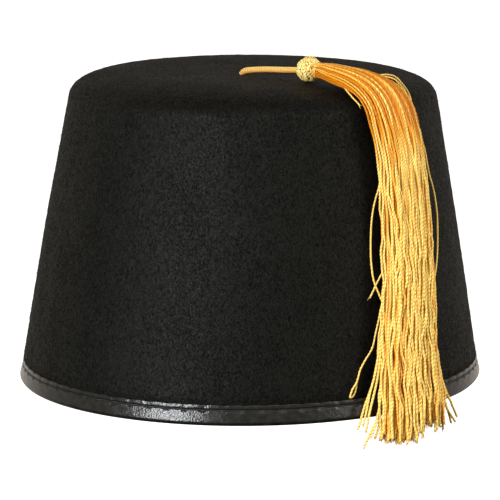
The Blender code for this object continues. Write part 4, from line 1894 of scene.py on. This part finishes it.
@dataclass
class RimBinding:
    """The strip of coated cloth folded round the rim, and the thread that holds it."""

    form: CrownForm
    felt: float = 2.4 * MM
    strip: float = 0.8 * MM
    top: float = 8.25 * MM
    inside_top: float = 8.0 * MM
    stitch_drop: float = 2.35 * MM
    roll_radius: float = 97.3 * MM
    roll_height: float = 2.9 * MM
    stitches: int = 78
    steps: int = 780
    section_rows: int = 50
    thread: float = 0.55 * MM
    first_stitch: float = -0.9
    edge: float = 0.05 * MM
    within: float = 0.1 * MM
    pucker: Pucker = Pucker()
    stitch: Stitch = Stitch()

    @property
    def groove(self) -> float:
        """The height of the stitches."""
        return self.top - self.stitch_drop

    def _beside(self, rows: Sequence[Sequence[float]], out: float) -> list[tuple[float, float]]:
        """Places beside the wall, as (radius, height).

        Args:
            rows: Each place's height on the wall, distance out in strips and own height.
            out: How much further out they all are.

        Returns:
            The places.
        """
        return [
            (float(self.form.wall(on)) + out + away * self.strip, height)
            for on, away, height in rows
        ]

    def section(self) -> np.ndarray:
        """The folded strip's section, closed, as rows of (radius, height)."""
        groove, tall, top = self.groove, self.roll_height, self.top
        hidden, proud = self.inside_top, self.strip
        # Where ON the wall, as a height, how far AWAY from it in strips, and HEIGHT.
        upper = (
            (groove + 1.6 * MM, 0.85, top - 0.45 * MM),
            (groove + 1.0 * MM, 1.15, groove + 1.1 * MM),
            (groove + 0.4 * MM, 1.10, groove + 0.48 * MM),
            (groove, 0.65, groove + 0.22 * MM),
        )
        # How far IN from the roll's radius, in millimetres, and HEIGHT.
        roll = (
            (1.22, groove - 0.02 * MM),
            (1.04, groove - 0.45 * MM),
            (0.72, tall + 1.2 * MM),
            (0.30, tall - 0.4 * MM),
            (0.10, 0.55 * tall),
            (0.18, 0.38 * tall),
            (0.40, 0.22 * tall),
            (0.76, 0.09 * tall),
            (1.35, 0.0),
        )
        # ON, AWAY and HEIGHT, as above.
        inside = (
            (0.0, 0.35, 0.0),
            (0.0, -0.55, 0.25 * proud),
            (0.0, -1.0, 0.9 * proud),
            (3.2 * MM, -1.15, 3.2 * MM),
            (groove - 1.2 * MM, -1.2, groove - 1.3 * MM),
            (groove, -0.75, groove - 0.3 * MM),
            (hidden, -0.95, hidden - 0.5 * MM),
            (hidden, -0.4, hidden),
            (hidden, 0.1, hidden - 0.2 * MM),
        )
        within = -self.felt - self.within
        places = self._beside([(top, 0.0, top - self.edge)], self.edge)
        places += self._beside([(top, 0.5, top), *upper], 0.0)
        places += [(self.roll_radius - away * MM, height) for away, height in roll]
        places += self._beside(inside, within)
        low, high = (0.0, 0.0, proud), (4.0 * MM, 0.0, 4.0 * MM)
        lining = self._beside([high, low], within) + self._beside([low, high], self.edge)
        folded = smooth_rows(places, self.section_rows)
        return np.concatenate([folded, np.array(lining), folded[:1]])

    def build(self, finish: Material) -> Piece:
        """Spins the strip, shapes it to the head and puckers it along its stitches.

        Args:
            finish: The strip's material.

        Returns:
            The strip.
        """
        strip = spun("binding_strip", [tuple(row) for row in self.section()], self.steps)
        self._pucker(strip)
        shape_to_head(strip, self.form)
        finish_piece(strip, finish)
        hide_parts("rim_binding")
        return strip

    def _pucker(self, strip: Piece) -> None:
        """Sinks the strip at each needle hole and lets it bulge between them."""
        points = read_points(strip)
        (radius, bearing), height = polar(points), points[:, 2]
        pitch = TAU / self.stitches
        phase = (bearing - self.first_stitch) / pitch
        off = (phase - np.round(phase)) * pitch * self.roll_radius
        rise = height - self.groove
        wall, pucker = self.form.wall(height), self.pucker
        outer = radius > wall - self.felt / 2
        hole = bell(off, pucker.hole[0]) * bell(rise, pucker.hole[1])
        over = rise - pucker.above_height * MM
        above = bell(off, pucker.above[0]) * bell(over, pucker.above[1])
        swell = 0.5 - 0.5 * np.cos(TAU * phase + np.pi)
        band = bell(np.abs(rise) - pucker.swell_height * MM, pucker.swell_width)
        pace, upward = pucker.wave_paces
        around = (level(bearing) + UP * upward * height[:, None]) * pace
        wave = np.array([noise.noise(Vector(place)) for place in around])
        low = bell(height - self.roll_height, pucker.wave_width)
        shift = pucker.swell * (swell - 0.5) * band + pucker.wave * wave * low
        shift = (shift - pucker.hole_depth * hole - pucker.above_depth * above) * MM
        still = np.abs(radius - wall) < pucker.felt_margin * MM
        shift[still | (height < pucker.still_height * MM)] = 0.0
        radius = radius + np.where(outer, shift, -shift)
        edge = outer & (rise > pucker.edge_height * MM)
        height = height - edge * pucker.edge_drop * MM * bell(off, pucker.edge_width)
        write_points(strip, level(bearing) * radius[:, None] + UP * height[:, None])

    def sew(self, finish: Material) -> Piece:
        """Lays the thread, one stitch at a time, on both faces.

        Args:
            finish: The thread's material.

        Returns:
            The thread.
        """
        stitch = self.stitch
        draw = np.random.default_rng(stitch.seed)
        yarn = YarnMesh()
        # The thread bunches at its holes.
        share = np.abs(np.linspace(-1, 1, stitch.rings))[:, None]
        thickness = stitch.least + stitch.bunched * share**stitch.bunch_power
        radii = np.repeat(thickness * self.thread / 2, stitch.sides, axis=1)
        for face in Face:
            for k in range(self.stitches):
                path, up = self._stitch(face, k)
                yarn.add(path, radii, up, float(draw.uniform(*stitch.tones)))
        piece = yarn.build("binding_stitches")
        finish_piece(piece, finish)
        return piece

    def _stitch(self, face: Face, number: int) -> tuple[np.ndarray, np.ndarray]:
        """One stitch's path from hole to hole, and the wall's outward directions along it."""
        stitch = self.stitch
        share = np.linspace(-stitch.overrun, 1 + stitch.overrun, stitch.rings)
        bearing = self.first_stitch + (number + share) * TAU / self.stitches
        arch = np.clip(np.sin(np.pi * np.clip(share, 0, 1)), 0, 1) ** stitch.arch_power
        wall = float(self.form.wall(self.groove))
        if face is Face.OUTSIDE:
            radius = wall + stitch.outside_out * self.strip + stitch.outside_arch * MM * arch
            dip = stitch.outside_dip * np.abs(2 * share - 1) ** stitch.dip_power
            height = self.groove + (stitch.outside_lift - dip) * MM
        else:
            under = stitch.inside_sink - stitch.inside_arch * arch
            radius = wall - self.felt - stitch.inside_out * self.strip + under * MM
            height = self.groove + stitch.inside_lift * MM + 0 * share
        path = self.form.oval(radius, height, bearing)
        return path, level(bearing)


# Studio


def direction_to(azimuth: float, elevation: float) -> Vector:
    """The direction from the hat to what stands at these angles, in degrees."""
    turn, rise = math.radians(azimuth), math.radians(elevation)
    level = math.cos(rise)
    return Vector((math.sin(turn) * level, -math.cos(turn) * level, math.sin(rise)))


def look_along(obj: Piece, direction: Vector) -> None:
    """Turns a camera or a light to this direction."""
    obj.rotation_mode = "QUATERNION"
    obj.rotation_quaternion = direction.to_track_quat("-Z", "Y")


@dataclass(frozen=True)
class SoftBox:
    """One soft light, aimed at the hat."""

    name: str
    azimuth: float
    elevation: float
    distance: float
    width: float
    height: float
    power: float
    colour: Colour = WHITE


@dataclass
class Studio:
    """The camera at the photograph's angle, the pale floor and the soft lights."""

    azimuth: float = 40.0
    pitch: float = 10.583
    position: tuple[float, float, float] = (0.78365, -0.93425, 0.27994)
    lens: float = 212.55
    sensor: float = 36.0
    far: float = 100.0
    floor_height: float = -0.25
    floor_size: float = 30.0
    floor_colour: Colour = (0.86, 0.86, 0.86)
    floor_roughness: float = 0.9
    floor_glow: float = 0.95
    aim: tuple[float, float, float] = (0.0, 0.0, 0.065)
    surround: Colour = (1.0, 0.90, 0.80)
    # How the surround's strength changes as a direction turns from in front to behind, or from
    # below to above: between LOW and HIGH it goes from the first of its two ENDS to the other.
    #                      LOW   HIGH   ENDS          GOES
    behind_fade: tuple = (-0.20, 0.75, (0.36, 0.62), "SMOOTHSTEP")
    below_fade: tuple = (-0.40, -0.05, (0.04, 1.00), "LINEAR")
    above_fade: tuple = (0.35, 0.95, (1.00, 0.25), "LINEAR")
    sweep_fade: tuple = (0.02, -0.10, (0.00, 1.00), "SMOOTHSTEP")
    far_fade: tuple = (0.30, 0.90, (0.00, 0.48), "SMOOTHSTEP")
    #       NAME   AZIMUTH  ELEVATION  DISTANCE  WIDTH  HEIGHT  POWER  COLOUR
    boxes: tuple[SoftBox, ...] = (
        SoftBox("key", 4.0, 15.0, 1.3, 0.28, 0.85, 22.0, (0.94, 0.97, 1.0)),
        SoftBox("right", 114.0, 20.0, 1.3, 0.5, 0.9, 7.5, (1.0, 0.96, 0.90)),
        SoftBox("front", 101.0, 20.0, 1.5, 0.5, 1.2, 5.0, (1.0, 0.97, 0.93)),
        SoftBox("fill", 60.0, 45.0, 1.6, 0.9, 0.9, 4.0, (1.0, 0.98, 0.95)),
    )

    def place_camera(self) -> None:
        """Makes the scene's camera."""
        data = bpy.data.cameras.new("camera")
        camera = bpy.data.objects.new("camera", data)
        bpy.context.scene.collection.objects.link(camera)
        data.sensor_width = self.sensor
        data.lens = self.lens
        data.clip_end = self.far
        camera.location = self.position
        look_along(camera, -direction_to(self.azimuth, self.pitch))
        bpy.context.scene.camera = camera

    def build(self) -> None:
        """Lays the floor and lights the hat."""
        self._floor()
        self._world()
        for box in self.boxes:
            self._light(box)
        bpy.context.scene.view_settings.view_transform = "Standard"
        bpy.context.scene.view_settings.look = "None"

    def _floor(self) -> None:
        """A plain pale floor, well below the hat, which is held up."""
        deselect_all()
        bpy.ops.mesh.primitive_plane_add(size=self.floor_size, location=(0, 0, self.floor_height))
        floor = bpy.context.object
        floor.name = "floor"
        material, tree, shader = new_material("pale_floor")
        looks = {
            "Base Color": (*self.floor_colour, 1.0),
            "Roughness": self.floor_roughness,
            "Emission Color": (*WHITE, 1.0),
            "Emission Strength": self.floor_glow,
        }
        feed(tree, shader, looks)
        clear = add_node(tree, "ShaderNodeBsdfTransparent").outputs[0]
        behind = add_node(tree, "ShaderNodeNewGeometry").outputs["Backfacing"]
        mixed = add_node(tree, "ShaderNodeMixShader", {0: behind, 1: shader.outputs[0], 2: clear})
        feed(tree, tree.nodes["Material Output"], {"Surface": mixed.outputs[0]})
        floor.data.materials.append(material)
        floor.visible_diffuse = False
        floor.visible_glossy = False
        floor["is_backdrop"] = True

    def _world(self) -> None:
        """A white surround for the camera. For the hat it is bright behind it and dim in front."""
        world = bpy.data.worlds.new("studio")
        bpy.context.scene.world = world
        world.use_nodes = True
        tree = world.node_tree
        heading = add_node(tree, "ShaderNodeTexCoord").outputs["Generated"]
        inputs = {0: heading, 1: -direction_to(self.azimuth, 0.0)}
        product = add_node(tree, "ShaderNodeVectorMath", inputs, operation="DOT_PRODUCT")
        along = product.outputs["Value"]
        height = add_node(tree, "ShaderNodeSeparateXYZ", {0: heading}).outputs["Z"]
        below = stretch(tree, height, *self.below_fade)
        above = stretch(tree, height, *self.above_fade)
        upright = calculate(tree, "MULTIPLY", below, above)
        lit = calculate(tree, "MULTIPLY", stretch(tree, along, *self.behind_fade), upright)
        sweep = stretch(tree, height, *self.sweep_fade)
        low_glow = calculate(tree, "MULTIPLY", sweep, stretch(tree, along, *self.far_fade))
        lit = calculate(tree, "ADD", lit, low_glow)
        seen = add_node(tree, "ShaderNodeLightPath").outputs["Is Camera Ray"]
        looks = {
            "Color": mix_colour(tree, seen, self.surround, WHITE),
            "Strength": calculate(tree, "MAXIMUM", lit, seen),
        }
        feed(tree, tree.nodes["Background"], looks)

    def _light(self, box: SoftBox) -> None:
        """Hangs one soft box and turns it to the hat."""
        data = bpy.data.lights.new(box.name, "AREA")
        data.shape = "RECTANGLE"
        data.size, data.size_y = box.width, box.height
        data.energy = box.power
        data.color = box.colour
        light = bpy.data.objects.new(box.name, data)
        bpy.context.scene.collection.objects.link(light)
        back = direction_to(box.azimuth, box.elevation)
        light.location = Vector(self.aim) + back * box.distance
        look_along(light, -back)


def build_knot(finish: Material) -> Piece:
    """Winds the knot inside the crown that holds the cord.

    Args:
        finish: The knot's material.

    Returns:
        The knot.
    """
    low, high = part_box("cord_knot")
    middle = np.array((low + high) / 2)
    thread = Yarn(diameter=1.5 * MM, ring_spacing=0.6 * MM)
    flatness = (high.z - low.z) / (high.x - low.x)
    knot = WoundKnot(middle, 3.4 * MM, thread, flatness, seed=2).build("knot_winding")
    finish_piece(knot, finish)
    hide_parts("cord_knot")
    return knot


CORD_FINISH = RayonFinish(
    "gold_cord",
    pale=(1.0, 0.74, 0.23),
    deep=(0.92, 0.42, 0.05),
    # Painted shade in the grooves between the cord's ribs.
    groove=(0.22, 0.05, 0.002),
    twisted=False,
    groove_width=0.4,
)
HEAD_FINISH = RayonFinish(
    "gold_winding",
    pale=(1.0, 0.90, 0.33),
    deep=(0.80, 0.36, 0.02),
    # Painted shade between the turns and in the plies' grooves.
    dark_and_shade=(0.30, 0.07, 0.002),
    groove=(0.36, 0.09, 0.002),
    pitch=FINE_TWIST,
)
SKIRT_FINISH = RayonFinish("gold_strands")


def main() -> None:
    """Builds the hat's looks, piece by piece."""
    logging.basicConfig(level=logging.INFO, format="%(name)s %(message)s")
    form = CrownForm()
    studio = Studio()
    studio.place_camera()
    effects = SharedEffects()
    cord_finish = CORD_FINISH.material(effects)
    head_finish = HEAD_FINISH.material(effects)
    skirt_finish = SKIRT_FINISH.material(effects)
    felt_finish = FeltFinish().material(effects)

    cord = Cord(form)
    sheath = cord.build(cord_finish)
    head = TasselHead(form, cord)
    winding = head.build(head_finish)
    cord.declare(sheath, winding)
    build_knot(cord_finish)

    skirt = TasselSkirt(form)
    skirt.build(skirt_finish)
    StrayStrands(form).build(skirt_finish)

    crown = FeltCrown(form, cord)
    crown.build(felt_finish)
    crown.fuzz(felt_finish)

    binding = RimBinding(form)
    binding.build(CoatedClothFinish().material(effects))
    binding.sew(ThreadFinish().material(effects))

    studio.build()
    boxes = {"cad": CAD_BOX, "visual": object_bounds()}
    {name: [list(corner) for corner in box] for name, box in boxes.items()}


if __name__ == "__main__":
    main()
